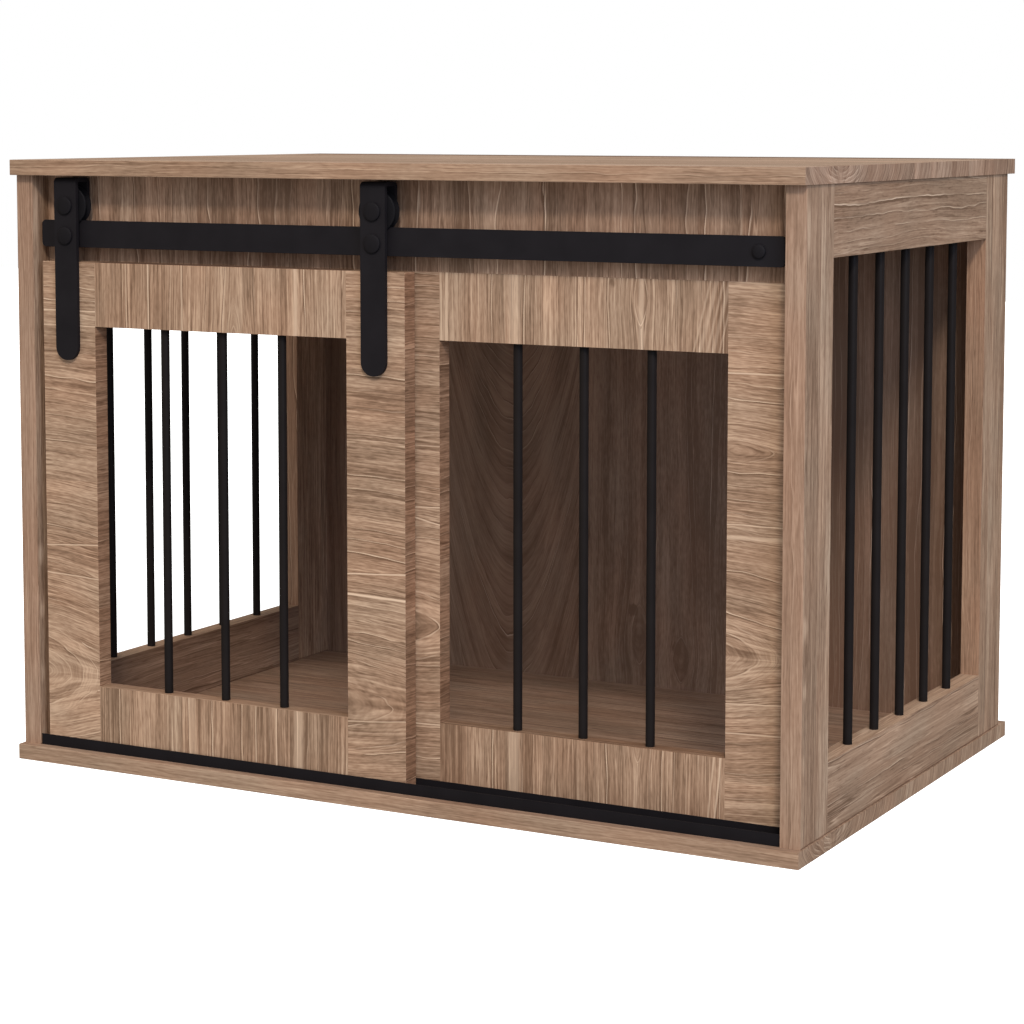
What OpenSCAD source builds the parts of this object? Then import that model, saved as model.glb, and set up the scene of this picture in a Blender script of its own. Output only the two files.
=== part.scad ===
// Furniture-style pet crate: a top and a base board joined by two barred side frames, a fixed
// barred frame at the right of the front, and a barred door that rolls on a flat steel rail.
// X runs to the right along the front, Y to the back, Z up. The origin is the middle of the underside.

/* [Carcass] */
// Width of the top and base boards
board_w = 1000; // [900:5:1300]
// Depth of the top and base boards
board_d = 677; // [600:1:800]
// Thickness of the top and base boards
board_t = 18; // [15:0.5:25]
// Height from the floor to the top face
crate_h = 714; // [640:1:900]
// Bevel along the long edges of the boards
board_ease = 0.4; // [0.2:0.1:2]
// How far the boards reach past the side frames
side_overhang = 2; // [0:0.5:10]
// How far the boards reach past the side frames at the front
front_overhang = 10; // [5:0.5:25]
// How far the boards reach past the side frames at the back
rear_overhang = 21.5; // [5:0.5:40]

/* [Side frames] */
// Thickness of the side frames
side_t = 23; // [20:0.5:30]
// Width of the front stiles, seen from the side
front_stile_w = 74; // [70:1:100]
// Width of the rear stiles, seen from the side
rear_stile_w = 80; // [50:1:100]
// Height of the top and bottom rails of the side frames
side_rail_w = 76; // [60:1:100]

/* [Front frames] */
// Thickness of the door, the fixed frame and the header board
frame_t = 22; // [20:0.5:28]
// Width of the stiles and height of the rails of the two front frames
frame_member_w = 75; // [60:1:90]
// How far the closed door and the fixed frame would overlap with the door against the side
frame_overlap = 36; // [20:1:70]
// Height of the header board above the two front frames
header_h = 100.5; // [85:0.5:140]
// Setback of the fixed frame behind the front edge of the side frames
fixed_setback = 30.5; // [28:0.5:45]
// Gap between the back of the door and the face of the fixed frame
door_rear_gap = 4; // [2:0.5:6]
// Gap between the door and the left side frame, with the door as shown
door_rest_gap = 10.3; // [5:0.1:20]
// Gap between the door and the base board
door_floor_gap = 3; // [2:0.5:6]

/* [Back] */
// Thickness of the back panel
back_t = 6; // [4:0.5:10]
// Width of the rebates in the rear stiles that take the back panel
rebate_w = 10; // [6:0.5:14]
// Side clearance of the back panel in its rebates
back_play = 0.5; // [0.2:0.1:2]

/* [Bars] */
// Diameter of the round bars
bar_d = 10; // [6:0.5:12]
// Distance aimed at from bar to bar
bar_pitch = 80; // [50:1:110]
// Depth of the sockets that take the ends of the bars
bar_seat = 12; // [6:0.5:20]
// Radial clearance of a bar in its sockets
bar_fit = 0.05; // [0.02:0.01:0.1]

/* [Rail] */
// Height of the flat rail
rail_h = 31.5; // [25:0.5:40]
// Thickness of the rail
rail_t = 5; // [4:0.5:6]
// Height of the rail's middle line above the lower edge of the header
rail_rise = 32.5; // [28:0.5:45]
// Gap between each end of the rail and the side frames
rail_end_gap = 4.5; // [2:0.5:20]
// Radius of the rail's corners
rail_corner_r = 5.5; // [2:0.5:12]
// Distance from the end of the rail to its bolt
rail_bolt_inset = 28.5; // [20:0.5:60]
// Shank diameter of the rail bolts
rail_bolt_d = 6; // [5:0.5:8]
// Head diameter of the rail bolts
rail_head_d = 14.5; // [11:0.5:18]
// Head height of the rail bolts
rail_head_h = 4; // [2:0.5:5]
// Length of the rail bolts' thread in the header
rail_bolt_bite = 18; // [10:1:20]
// Outer diameter of the spacers between rail and header
spacer_d = 16; // [12:0.5:20]

/* [Hangers] */
// Width of the hanger straps
strap_w = 31.5; // [25:0.5:40]
// Thickness of the hanger straps
strap_t = 5; // [4:0.5:6]
// Length of the strap below the top edge of the door
strap_drop = 115; // [100:1:200]
// Gap between the top of the strap and the top board
strap_top_gap = 2.5; // [1:0.5:6]
// Outer bend radius of the strap's fold
strap_bend_r = 6; // [5.5:0.5:8]
// Clear space between the two legs of the fold
strap_space = 16.8; // [16:0.1:18]
// Distance of the upper fixing screw below the top edge of the door
strap_screw_drop = 25; // [15:1:40]
// Distance between the two fixing screws of a strap
strap_screw_pitch = 60; // [30:1:70]
// Diameter of the fixing screws
strap_screw_d = 6; // [4:0.5:8]
// Steel left in front of a fixing screw's end
strap_screw_skin = 1; // [0.5:0.1:2]
// Distance of the lower bolt below the axle
strap_bolt_drop = 35; // [32:1:45]
// Head diameter of the axle and lower bolts
bolt_head_d = 20.5; // [14:0.5:24]
// Head height of the axle and lower bolts
bolt_head_h = 4; // [2:0.5:6]

/* [Rollers] */
// Rolling radius of the roller
tread_r = 17; // [14:0.5:18]
// Outer radius of the roller's flanges
flange_r = 23; // [20:0.5:24]
// Width of the roller
roller_w = 12; // [11:0.1:12.5]
// Width of the roller's groove at the tread
groove_w = 6.6; // [6:0.1:7.4]
// Flare of the groove on each side, out to the flange's rim
groove_flare = 1; // [0.4:0.1:1.4]
// Gap between tread and rail
tread_gap = 0.3; // [0.2:0.05:0.5]
// Diameter of the axle bolts
axle_d = 8; // [6:0.5:10]
// Outer diameter of the roller's bush
bush_d = 14; // [12:0.5:18]
// Radial clearance of the bush on the axle bolt
axle_fit = 0.04; // [0.02:0.01:0.08]
// Radial clearance of the bush in the roller
bush_fit = 0.02; // [0.01:0.01:0.05]
// Thickness of the washer in front of the roller
front_washer_t = 3; // [2:0.1:3.4]
// End play of the roller on each side
roller_play = 0.3; // [0.2:0.05:0.4]
// Outer diameter of the washers
washer_d = 18; // [15:0.5:22]

/* [Track] */
// Width of the floor track, outside
track_w = 27; // [26.5:0.1:28]
// Height of the floor track's lips
track_h = 13; // [8:0.5:16]
// Wall thickness of the floor track
track_wall = 1.2; // [1:0.1:1.4]
// Gap between the track's ends and the side frames
track_end_gap = 0.5; // [0.2:0.1:3]
// Greatest distance from one track screw to the next
track_screw_pitch = 240; // [150:5:320]

/* [Fasteners] */
// Diameter of the wooden dowels
dowel_d = 8; // [6:0.5:10]
// Length of the wooden dowels
dowel_l = 40; // [24:1:44]
// Distance between the two dowels of a joint
dowel_pitch = 38; // [24:1:44]
// Radial clearance of the dowels in their holes
dowel_fit = 0.05; // [0.02:0.01:0.1]
// Diameter of the cam locks
cam_d = 15; // [12:0.5:16]
// Depth of the cam locks
cam_depth = 12; // [10.5:0.5:14]
// Distance of a cam lock's middle from the edge that it pulls in
cam_setback = 34; // [24:1:40]
// Diameter of the cam bolts
cam_bolt_d = 6; // [5:0.5:7]
// Length of the cam bolts' thread
cam_bolt_bite = 10; // [8:0.5:13]
// Distance of the header's cam bolts from its upper and lower edges
header_cam_inset = 14; // [10:0.5:22]
// Distance of the fixed frame's cam bolts from its upper and lower edges
fixed_cam_inset = 150; // [100:5:200]
// Length of the dowels above and below the header
header_dowel_l = 16; // [12:1:20]
// Distance of the outer header dowel from the opening of the fixed frame
header_dowel_inset = 10; // [6:0.5:16]
// Diameter of the screws through the base board
base_screw_d = 6.4; // [5:0.1:7]
// Length of the screws through the base board
base_screw_l = 50; // [40:1:70]
// Head diameter of the screws through the base board
base_head_d = 10; // [8:0.5:12]
// Head height of the screws through the base board
base_head_h = 2.5; // [1.5:0.5:4]
// Diameter of the small wood screws
small_screw_d = 4; // [3:0.5:4.5]
// Length of the small wood screws
small_screw_l = 15; // [12:0.5:16]
// Greatest distance from one back panel screw to the next
back_screw_pitch = 160; // [100:5:240]
// General clearance round screws and cams in their holes
screw_fit = 0.05; // [0.02:0.01:0.1]

/* [Hidden] */
$fn = 48;

// Overrun of cutters past the faces that they cut
cut = 1;
// Play left at the ends of bars, dowels and sunk screws
end_play = 0.3;
// Head and stepped neck of a cam bolt
cam_head_l = 3;
cam_head_step = 1;
// Play of the bolt's head in the cam's slot, and the slot for the driver
cam_slot_play = 0.8;
driver_slot_w = 1.6;
driver_slot_depth = 1.5;
// Wood left between a cam and the nearest dowel
cam_wall = 4;
// Share of a domed head's height that is a straight rim
dome_rim = 0.55;
// Bevel at the rim of the rollers
roller_ease = 0.8;
// Head height of the track screws
track_head_h = 1;

// Carcass places
front_y = -board_d / 2;
side_out_x = board_w / 2 - side_overhang;
side_in_x = side_out_x - side_t;
side_y = front_y + front_overhang;
side_d = board_d - front_overhang - rear_overhang;
floor_z = board_t;
ceiling_z = crate_h - board_t;
header_z = ceiling_z - header_h;
fixed_y = side_y + fixed_setback;
back_y = side_y + side_d - back_t;

// Front frame places
frame_w = (2 * side_in_x + frame_overlap) / 2;
door_x = -side_in_x + door_rest_gap;
door_y = fixed_y - door_rear_gap - frame_t;
door_z = floor_z + door_floor_gap;
fixed_x = side_in_x - frame_w;
fixed_bottom_w = frame_member_w + door_floor_gap;

// Hanger, roller and rail places
strap_y = door_y - strap_t;
strap_xs = [door_x + frame_member_w / 2, door_x + frame_w - frame_member_w / 2];
strap_end_z = header_z - strap_drop + strap_w / 2;
strap_top_z = ceiling_z - strap_top_gap;
rail_z = header_z + rail_rise;
axle_z = rail_z + rail_h / 2 + tread_gap + tread_r;
roller_y = door_y + front_washer_t + roller_play + roller_w / 2;
strap_screw_l = frame_t + strap_t - strap_screw_skin - end_play;
rear_washer_t = strap_space - front_washer_t - roller_w - 2 * roller_play;
rail_y = roller_y - rail_t / 2;
rail_half = side_in_x - rail_end_gap;
rail_bolt_x = rail_half - rail_bolt_inset;
track_y = door_y + frame_t / 2 - track_w / 2;
track_screw_count = ceil(2 * side_in_x / track_screw_pitch);

// A frame lies with its width along x, its thickness along y and its height along z.
// Its list holds: width, bottom, top, thickness, left stile, right stile, bottom rail, top rail.
DOOR = [frame_w, door_z, header_z, frame_t, frame_member_w, frame_member_w, frame_member_w, frame_member_w];
FIXED = [frame_w, floor_z, header_z, frame_t, frame_member_w, frame_member_w, fixed_bottom_w, frame_member_w];
SIDE = [side_d, floor_z, ceiling_z, side_t, front_stile_w, rear_stile_w, side_rail_w, side_rail_w];

function bottom_joint_z(f) = f[1] + f[6] / 2;
function top_joint_z(f) = f[2] - f[7] / 2;
function opening_w(f) = f[0] - f[4] - f[5];
function bar_count(f) = round(opening_w(f) / bar_pitch) - 1;
function bar_xs(f) = [
    for (i = [0 : bar_count(f) - 1])
        f[4] + opening_w(f) / 2 + (i - (bar_count(f) - 1) / 2) * bar_pitch
];
function dowel_zs(f) = [
    for (z = [bottom_joint_z(f), top_joint_z(f)], s = [-1, 1])
        z + s * dowel_pitch / 2
];

// Joints between the header, the fixed frame and the sides
header_mid_y = fixed_y + frame_t / 2;
header_cam_zs = [header_z + header_cam_inset, ceiling_z - header_cam_inset];
fixed_cam_zs = [floor_z + fixed_cam_inset, header_z - fixed_cam_inset];
header_dowel_xs = [
    fixed_x + frame_member_w / 2,
    fixed_x + frame_w / 2,
    side_in_x - frame_member_w + header_dowel_inset
];
header_reach = fixed_y - rail_y + rail_bolt_bite;
cam_reach = dowel_l / 2 + cam_wall + cam_d / 2;
top_cam_xs = [front_stile_w + cam_reach, side_d / 2, side_d - rear_stile_w - cam_reach];
base_screw_ys = [side_y + front_stile_w / 2, side_y + side_d / 2, side_y + side_d - rear_stile_w / 2];
base_screw_xs = [fixed_x + frame_member_w / 2, side_in_x - frame_member_w / 2];

// Back panel fixings
back_screw_x = side_in_x + rebate_w / 2;
back_screw_count = ceil((ceiling_z - floor_z) / back_screw_pitch);
back_screw_zs = [
    for (i = [0 : back_screw_count - 1])
        floor_z + (i + 0.5) * (ceiling_z - floor_z) / back_screw_count
];
track_screw_xs = [
    for (i = [0 : track_screw_count - 1])
        -side_in_x + (i + 0.5) * 2 * side_in_x / track_screw_count
];

module walnut() { color([0.62, 0.50, 0.41]) children(); }
module black_steel() { color([0.13, 0.13, 0.135]) children(); }
module zinc() { color([0.66, 0.67, 0.68]) children(); }
module beech() { color([0.80, 0.66, 0.47]) children(); }
module bronze() { color([0.68, 0.50, 0.28]) children(); }

// Cylinder along y from y = 0 towards the back
module along_y(d, l) {
    rotate([-90, 0, 0])
        cylinder(d = d, h = l);
}

// Cylinder along x from x = 0 to the right
module along_x(d, l) {
    rotate([0, 90, 0])
        cylinder(d = d, h = l);
}

// Board with its four edges along x bevelled
module eased_board(x0, x1, y0, y1, z0, z1) {
    w = y1 - y0;
    h = z1 - z0;
    e = board_ease;
    translate([x0, y0, z0])
        rotate([90, 0, 90])
            linear_extrude(x1 - x0)
                polygon([
                    [e, 0], [w - e, 0], [w, e], [w, h - e],
                    [w - e, h], [e, h], [0, h - e], [0, e]
                ]);
}

// Low domed bolt head on the plane y = 0, facing the front
module domed_head(d, h) {
    rim = dome_rim * h;
    steps = 6;
    rotate([90, 0, 0])
        rotate_extrude()
            polygon(concat(
                [[0, 0], [d / 2, 0], [d / 2, rim]],
                [for (i = [1 : steps]) [d / 2 * cos(90 * i / steps), rim + (h - rim) * sin(90 * i / steps)]]
            ));
}

// Flat countersunk screw with its head at y = 0, pointing to the back
module sunk_screw(d, l) {
    rotate([-90, 0, 0])
        cylinder(d1 = 2 * d - 2 * screw_fit, d2 = d, h = d / 2);
    along_y(d, l);
}

// Hole for a countersunk screw
module sunk_screw_hole(d, l) {
    rotate([-90, 0, 0])
        cylinder(d1 = 2 * d + 2 * screw_fit, d2 = d + 2 * screw_fit, h = d / 2 + screw_fit);
    translate([0, -cut, 0])
        along_y(2 * d + 2 * screw_fit, cut);
    along_y(d + 2 * screw_fit, l + end_play / 2);
}

// Frame members
module stile_body(f, x, w) {
    translate([x, 0, f[1]])
        cube([w, f[3], f[2] - f[1]]);
}

module rail_body(f, z, h) {
    translate([f[4], 0, z])
        cube([opening_w(f), f[3], h]);
}

module dowel_row(f, x, d, l) {
    for (z = dowel_zs(f))
        translate([x - l / 2, f[3] / 2, z])
            along_x(d, l);
}

module dowel_holes(f) {
    for (x = [f[4], f[0] - f[5]])
        dowel_row(f, x, dowel_d + 2 * dowel_fit, dowel_l + 2 * end_play);
}

module frame_dowels(f) {
    for (x = [f[4], f[0] - f[5]])
        dowel_row(f, x, dowel_d, dowel_l);
}

module bar_row(f, d, z0, z1) {
    for (x = bar_xs(f))
        translate([x, f[3] / 2, z0])
            cylinder(d = d, h = z1 - z0);
}

module frame_bars(f) {
    bar_row(f, bar_d, f[1] + f[6] - bar_seat, f[2] - f[7] + bar_seat - end_play);
}

module bar_sockets(f) {
    bar_row(f, bar_d + 2 * bar_fit, f[1] + f[6] - bar_seat, f[2] - f[7] + bar_seat);
}

module left_stile(f) {
    difference() {
        stile_body(f, 0, f[4]);
        dowel_holes(f);
    }
}

module right_stile(f) {
    difference() {
        stile_body(f, f[0] - f[5], f[5]);
        dowel_holes(f);
    }
}

module bottom_rail(f) {
    difference() {
        rail_body(f, f[1], f[6]);
        dowel_holes(f);
        bar_sockets(f);
    }
}

module top_rail(f) {
    difference() {
        rail_body(f, f[2] - f[7], f[7]);
        dowel_holes(f);
        bar_sockets(f);
    }
}

// Cam joints. The cam lies on the z axis, flush with the face z = 0 and sunk below it; its bolt
// comes in along x from a distance of cam_setback, t / 2 below the face.
module cam(t) {
    slot_w = cam_bolt_d + cam_head_step + cam_slot_play;
    difference() {
        translate([0, 0, -cam_depth])
            cylinder(d = cam_d - 2 * screw_fit, h = cam_depth);
        translate([-slot_w / 2, -slot_w / 2, -cam_depth - cut])
            cube([cam_d, slot_w, cam_depth + cut - t / 2 + slot_w / 2]);
        translate([-cam_d / 3, -driver_slot_w / 2, -driver_slot_depth])
            cube([cam_d * 2 / 3, driver_slot_w, driver_slot_depth + cut]);
    }
}

module cam_bolt(t) {
    translate([-cam_head_l, 0, -t / 2]) {
        along_x(cam_bolt_d + cam_head_step, cam_head_l);
        along_x(cam_bolt_d - cam_head_step, 2 * cam_head_l);
        translate([2 * cam_head_l, 0, 0])
            along_x(cam_bolt_d, cam_setback + cam_bolt_bite - cam_head_l);
    }
}

module cam_hole(t) {
    translate([0, 0, -cam_depth - end_play])
        cylinder(d = cam_d, h = cam_depth + end_play + cut);
    translate([-cam_head_l - end_play, 0, -t / 2])
        along_x(cam_bolt_d + cam_head_step + cam_slot_play, cam_head_l + end_play + cam_setback + cut);
}

module cam_bolt_hole(t) {
    translate([cam_setback - cut, 0, -t / 2])
        along_x(cam_bolt_d + 2 * screw_fit, cam_bolt_bite + cut + end_play);
}

// Side frame cams open on the inner face and pull the top board down
module at_top_cams() {
    for (x = top_cam_xs)
        translate([x, side_t, ceiling_z - cam_setback])
            rotate([-90, 0, 0])
                rotate([0, 0, -90])
                    children();
}

// Header and fixed frame cams open on the rear face and pull the sides in
module at_header_cams() {
    for (s = [-1, 1], z = header_cam_zs)
        translate([s * (side_in_x - cam_setback), fixed_y + frame_t, z])
            scale_side(s)
                rotate([-90, 0, 0])
                    children();
}

module at_fixed_cams() {
    for (z = fixed_cam_zs)
        translate([side_in_x - cam_setback, fixed_y + frame_t, z])
            rotate([-90, 0, 0])
                children();
}

module scale_side(s) {
    if (s > 0)
        children();
    else
        mirror([1, 0, 0])
            children();
}

// The side frames: the right one in place, the left one mirrored
module place_side(s) {
    scale_side(s)
        translate([side_out_x, side_y, 0])
            rotate([0, 0, 90])
                children();
}

// Hole for a screw from below, in a frame that stands on the base board
module base_screw_hole() {
    cylinder(d = base_screw_d + 2 * screw_fit, h = base_screw_l - floor_z + cut + 2 * end_play);
}

module side_base_screw_holes() {
    for (y = base_screw_ys)
        translate([y - side_y, side_t / 2, floor_z - cut])
            base_screw_hole();
}

module side_front_stile(s) {
    walnut() difference() {
        place_side(s) difference() {
            left_stile(SIDE);
            side_base_screw_holes();
            at_top_cams() cam_hole(side_t);
        }
        at_header_cams() cam_bolt_hole(frame_t);
        if (s > 0)
            at_fixed_cams() cam_bolt_hole(frame_t);
    }
}

module side_rear_stile(s) {
    walnut() difference() {
        place_side(s) difference() {
            right_stile(SIDE);
            side_base_screw_holes();
            at_top_cams() cam_hole(side_t);
            translate([side_d - back_t, side_t - rebate_w, floor_z - cut])
                cube([back_t + cut, rebate_w + cut, ceiling_z - floor_z + 2 * cut]);
        }
        back_screw_holes();
    }
}

module side_bottom_rail(s) {
    walnut() place_side(s) difference() {
        bottom_rail(SIDE);
        side_base_screw_holes();
    }
}

module side_top_rail(s) {
    walnut() place_side(s) difference() {
        top_rail(SIDE);
        at_top_cams() cam_hole(side_t);
    }
}

module left_front_stile() { side_front_stile(-1); }
module left_rear_stile() { side_rear_stile(-1); }
module left_bottom_rail() { side_bottom_rail(-1); }
module left_top_rail() { side_top_rail(-1); }
module left_bars() { black_steel() place_side(-1) frame_bars(SIDE); }
module left_dowels() { beech() place_side(-1) frame_dowels(SIDE); }
module right_front_stile() { side_front_stile(1); }
module right_rear_stile() { side_rear_stile(1); }
module right_bottom_rail() { side_bottom_rail(1); }
module right_top_rail() { side_top_rail(1); }
module right_bars() { black_steel() place_side(1) frame_bars(SIDE); }
module right_dowels() { beech() place_side(1) frame_dowels(SIDE); }

// The two boards
module at_base_screws() {
    for (s = [-1, 1], y = base_screw_ys)
        translate([s * (side_out_x - side_t / 2), y, 0])
            children();
    for (x = base_screw_xs)
        translate([x, header_mid_y, 0])
            children();
}

module base_board() {
    walnut() difference() {
        eased_board(-board_w / 2, board_w / 2, front_y, -front_y, 0, floor_z);
        at_base_screws() {
            translate([0, 0, -cut])
                cylinder(d = base_screw_d + 2 * screw_fit, h = board_t + 2 * cut);
            translate([0, 0, -cut])
                cylinder(d = base_head_d + 2 * screw_fit, h = cut + base_head_h + end_play);
        }
        for (x = track_screw_xs)
            translate([x, track_y + track_w / 2, floor_z + track_wall - small_screw_l])
                cylinder(d = small_screw_d + 2 * screw_fit, h = small_screw_l + cut);
    }
}

module base_screws() {
    zinc() at_base_screws() {
        translate([0, 0, end_play])
            cylinder(d = base_head_d, h = base_head_h);
        translate([0, 0, end_play])
            cylinder(d = base_screw_d, h = base_screw_l);
    }
}

module top_board() {
    walnut() difference() {
        eased_board(-board_w / 2, board_w / 2, front_y, -front_y, ceiling_z, crate_h);
        for (s = [-1, 1])
            place_side(s) at_top_cams() cam_bolt_hole(side_t);
        at_header_dowels(ceiling_z) header_dowel(dowel_fit, end_play);
    }
}

module top_cams() {
    zinc() for (s = [-1, 1])
        place_side(s) at_top_cams() cam(side_t);
}

module top_cam_bolts() {
    zinc() for (s = [-1, 1])
        place_side(s) at_top_cams() cam_bolt(side_t);
}

// The back panel sits in the rebates of the rear stiles
module at_back_screws() {
    for (s = [-1, 1], z = back_screw_zs)
        translate([s * back_screw_x, side_y + side_d, z])
            rotate([0, 0, 180])
                children();
}

module back_screw_holes() {
    at_back_screws() sunk_screw_hole(small_screw_d, small_screw_l);
}

module back_panel() {
    half = side_in_x + rebate_w - back_play;
    walnut() difference() {
        translate([-half, back_y, floor_z])
            cube([2 * half, back_t, ceiling_z - floor_z]);
        back_screw_holes();
    }
}

module back_screws() {
    zinc() at_back_screws() sunk_screw(small_screw_d, small_screw_l);
}

// Header board above the front frames
module at_header_dowels(z) {
    for (x = header_dowel_xs)
        translate([x, header_mid_y, z])
            children();
}

module header_dowel(fit, play) {
    translate([0, 0, -header_dowel_l / 2 - play])
        cylinder(d = dowel_d + 2 * fit, h = header_dowel_l + 2 * play);
}

module header_board() {
    walnut() difference() {
        translate([-side_in_x, fixed_y, header_z])
            cube([2 * side_in_x, frame_t, header_h]);
        at_header_cams() cam_hole(frame_t);
        at_header_dowels(header_z) header_dowel(dowel_fit, end_play);
        at_header_dowels(ceiling_z) header_dowel(dowel_fit, end_play);
        at_rail_bolts()
            along_y(rail_bolt_d + 2 * screw_fit, header_reach + end_play);
    }
}

module header_dowels() {
    beech() {
        at_header_dowels(header_z) header_dowel(0, 0);
        at_header_dowels(ceiling_z) header_dowel(0, 0);
    }
}

module front_cams() {
    zinc() {
        at_header_cams() cam(frame_t);
        at_fixed_cams() cam(frame_t);
    }
}

module front_cam_bolts() {
    zinc() {
        at_header_cams() cam_bolt(frame_t);
        at_fixed_cams() cam_bolt(frame_t);
    }
}

// Fixed frame on the right
module place_fixed() {
    translate([fixed_x, fixed_y, 0])
        children();
}

module fixed_base_screw_holes() {
    for (x = base_screw_xs)
        translate([x, header_mid_y, floor_z - cut])
            base_screw_hole();
}

module fixed_left_stile() {
    walnut() difference() {
        place_fixed() left_stile(FIXED);
        fixed_base_screw_holes();
        at_header_dowels(header_z) header_dowel(dowel_fit, end_play);
    }
}

module fixed_right_stile() {
    walnut() difference() {
        place_fixed() right_stile(FIXED);
        fixed_base_screw_holes();
        at_fixed_cams() cam_hole(frame_t);
        at_header_dowels(header_z) header_dowel(dowel_fit, end_play);
    }
}

module fixed_bottom_rail() {
    walnut() place_fixed() bottom_rail(FIXED);
}

module fixed_top_rail() {
    walnut() difference() {
        place_fixed() top_rail(FIXED);
        at_header_dowels(header_z) header_dowel(dowel_fit, end_play);
    }
}

module fixed_bars() { black_steel() place_fixed() frame_bars(FIXED); }
module fixed_dowels() { beech() place_fixed() frame_dowels(FIXED); }

// Flat rail, held off the header by spacers
module at_rail_bolts() {
    for (s = [-1, 1])
        translate([s * rail_bolt_x, rail_y, rail_z])
            children();
}

module hanging_rail() {
    r = rail_corner_r;
    black_steel() difference() {
        union() {
            translate([-rail_half + r, rail_y, rail_z - rail_h / 2])
                cube([2 * rail_half - 2 * r, rail_t, rail_h]);
            translate([-rail_half, rail_y, rail_z - rail_h / 2 + r])
                cube([2 * rail_half, rail_t, rail_h - 2 * r]);
            for (sx = [-1, 1], sz = [-1, 1])
                translate([sx * (rail_half - r), rail_y, rail_z + sz * (rail_h / 2 - r)])
                    along_y(2 * r, rail_t);
        }
        at_rail_bolts() translate([0, -cut, 0])
            along_y(rail_bolt_d + 2 * screw_fit, rail_t + 2 * cut);
    }
}

module rail_spacers() {
    black_steel() at_rail_bolts() translate([0, rail_t, 0]) difference() {
        along_y(spacer_d, fixed_y - rail_y - rail_t);
        translate([0, -cut, 0])
            along_y(rail_bolt_d + 2 * screw_fit, fixed_y - rail_y + 2 * cut);
    }
}

module rail_bolts() {
    black_steel() at_rail_bolts() {
        domed_head(rail_head_d, rail_head_h);
        along_y(rail_bolt_d, header_reach);
    }
}

// Channel that guides the foot of the door
module floor_track() {
    h = track_h;
    w = track_w;
    t = track_wall;
    black_steel() difference() {
        translate([-side_in_x + track_end_gap, track_y, floor_z])
            rotate([90, 0, 90])
                linear_extrude(2 * side_in_x - 2 * track_end_gap)
                    polygon([[0, 0], [w, 0], [w, h], [w - t, h], [w - t, t], [t, t], [t, h], [0, h]]);
        for (x = track_screw_xs)
            translate([x, track_y + w / 2, floor_z - cut])
                cylinder(d = small_screw_d + 2 * screw_fit, h = t + 2 * cut);
    }
}

module track_screws() {
    black_steel() for (x = track_screw_xs)
        translate([x, track_y + track_w / 2, floor_z + track_wall]) {
            cylinder(d = 2 * small_screw_d, h = track_head_h);
            translate([0, 0, end_play - small_screw_l])
                cylinder(d = small_screw_d, h = small_screw_l);
        }
}

// Door, drawn 10 mm short of the left side as photographed
module place_door() {
    translate([door_x, door_y, 0])
        children();
}

module at_strap_screws() {
    for (x = strap_xs, i = [0, 1])
        translate([x, door_y + frame_t, header_z - strap_screw_drop - i * strap_screw_pitch])
            rotate([0, 0, 180])
                children();
}

module door_left_stile() {
    walnut() difference() {
        place_door() left_stile(DOOR);
        at_strap_screws() sunk_screw_hole(strap_screw_d, strap_screw_l);
    }
}

module door_right_stile() {
    walnut() difference() {
        place_door() right_stile(DOOR);
        at_strap_screws() sunk_screw_hole(strap_screw_d, strap_screw_l);
    }
}

module door_bottom_rail() { walnut() place_door() bottom_rail(DOOR); }
module door_top_rail() { walnut() place_door() top_rail(DOOR); }
module door_bars() { black_steel() place_door() frame_bars(DOOR); }
module door_dowels() { beech() place_door() frame_dowels(DOOR); }

module strap_screws() {
    black_steel() at_strap_screws() sunk_screw(strap_screw_d, strap_screw_l);
}

// Hanger strap, folded over the roller, with both ends rounded
module strap_profile() {
    depth = 2 * strap_t + strap_space;
    r = strap_bend_r;
    ri = r - strap_t;
    top = strap_top_z;
    translate([0, strap_end_z])
        square([strap_t, top - r - strap_end_z]);
    translate([depth - strap_t, axle_z])
        square([strap_t, top - r - axle_z]);
    difference() {
        union() {
            translate([0, top - r])
                square([depth, r - strap_t + cut]);
            translate([r, top - r])
                square([depth - 2 * r, r]);
            for (y = [r, depth - r])
                translate([y, top - r])
                    circle(r = r);
        }
        translate([strap_t, top - r - r])
            square([strap_space, r]);
        for (y = [r, depth - r])
            translate([y, top - r])
                circle(r = ri);
        translate([r, top - r])
            square([depth - 2 * r, ri]);
        translate([-cut, top - 3 * r])
            square([depth + 2 * cut, 2 * r]);
    }
}

module hanger_strap(x) {
    black_steel() difference() {
        translate([x, strap_y, 0]) {
            translate([-strap_w / 2, 0, 0])
                rotate([90, 0, 90])
                    linear_extrude(strap_w)
                        strap_profile();
            translate([0, 0, strap_end_z])
                along_y(strap_w, strap_t);
            translate([0, strap_t + strap_space, axle_z])
                along_y(strap_w, strap_t);
        }
        translate([x, strap_y - cut, axle_z])
            along_y(axle_d + 2 * screw_fit, 2 * strap_t + strap_space + 2 * cut);
        translate([x, strap_y - cut, axle_z - strap_bolt_drop])
            along_y(axle_d + 2 * screw_fit, strap_t + 2 * cut);
        at_strap_screws() sunk_screw_hole(strap_screw_d, strap_screw_l);
    }
}

module left_hanger_strap() { hanger_strap(strap_xs[0]); }
module right_hanger_strap() { hanger_strap(strap_xs[1]); }

module strap_bolts() {
    black_steel() for (x = strap_xs)
        translate([x, strap_y, axle_z - strap_bolt_drop]) {
            domed_head(bolt_head_d, bolt_head_h);
            along_y(axle_d, strap_t);
        }
}

module axle_bolts() {
    black_steel() for (x = strap_xs)
        translate([x, strap_y, axle_z]) {
            domed_head(bolt_head_d, bolt_head_h);
            along_y(axle_d, 2 * strap_t + strap_space);
        }
}

module washer(t) {
    difference() {
        along_y(washer_d, t);
        translate([0, -cut, 0])
            along_y(axle_d + 4 * screw_fit, t + 2 * cut);
    }
}

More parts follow.
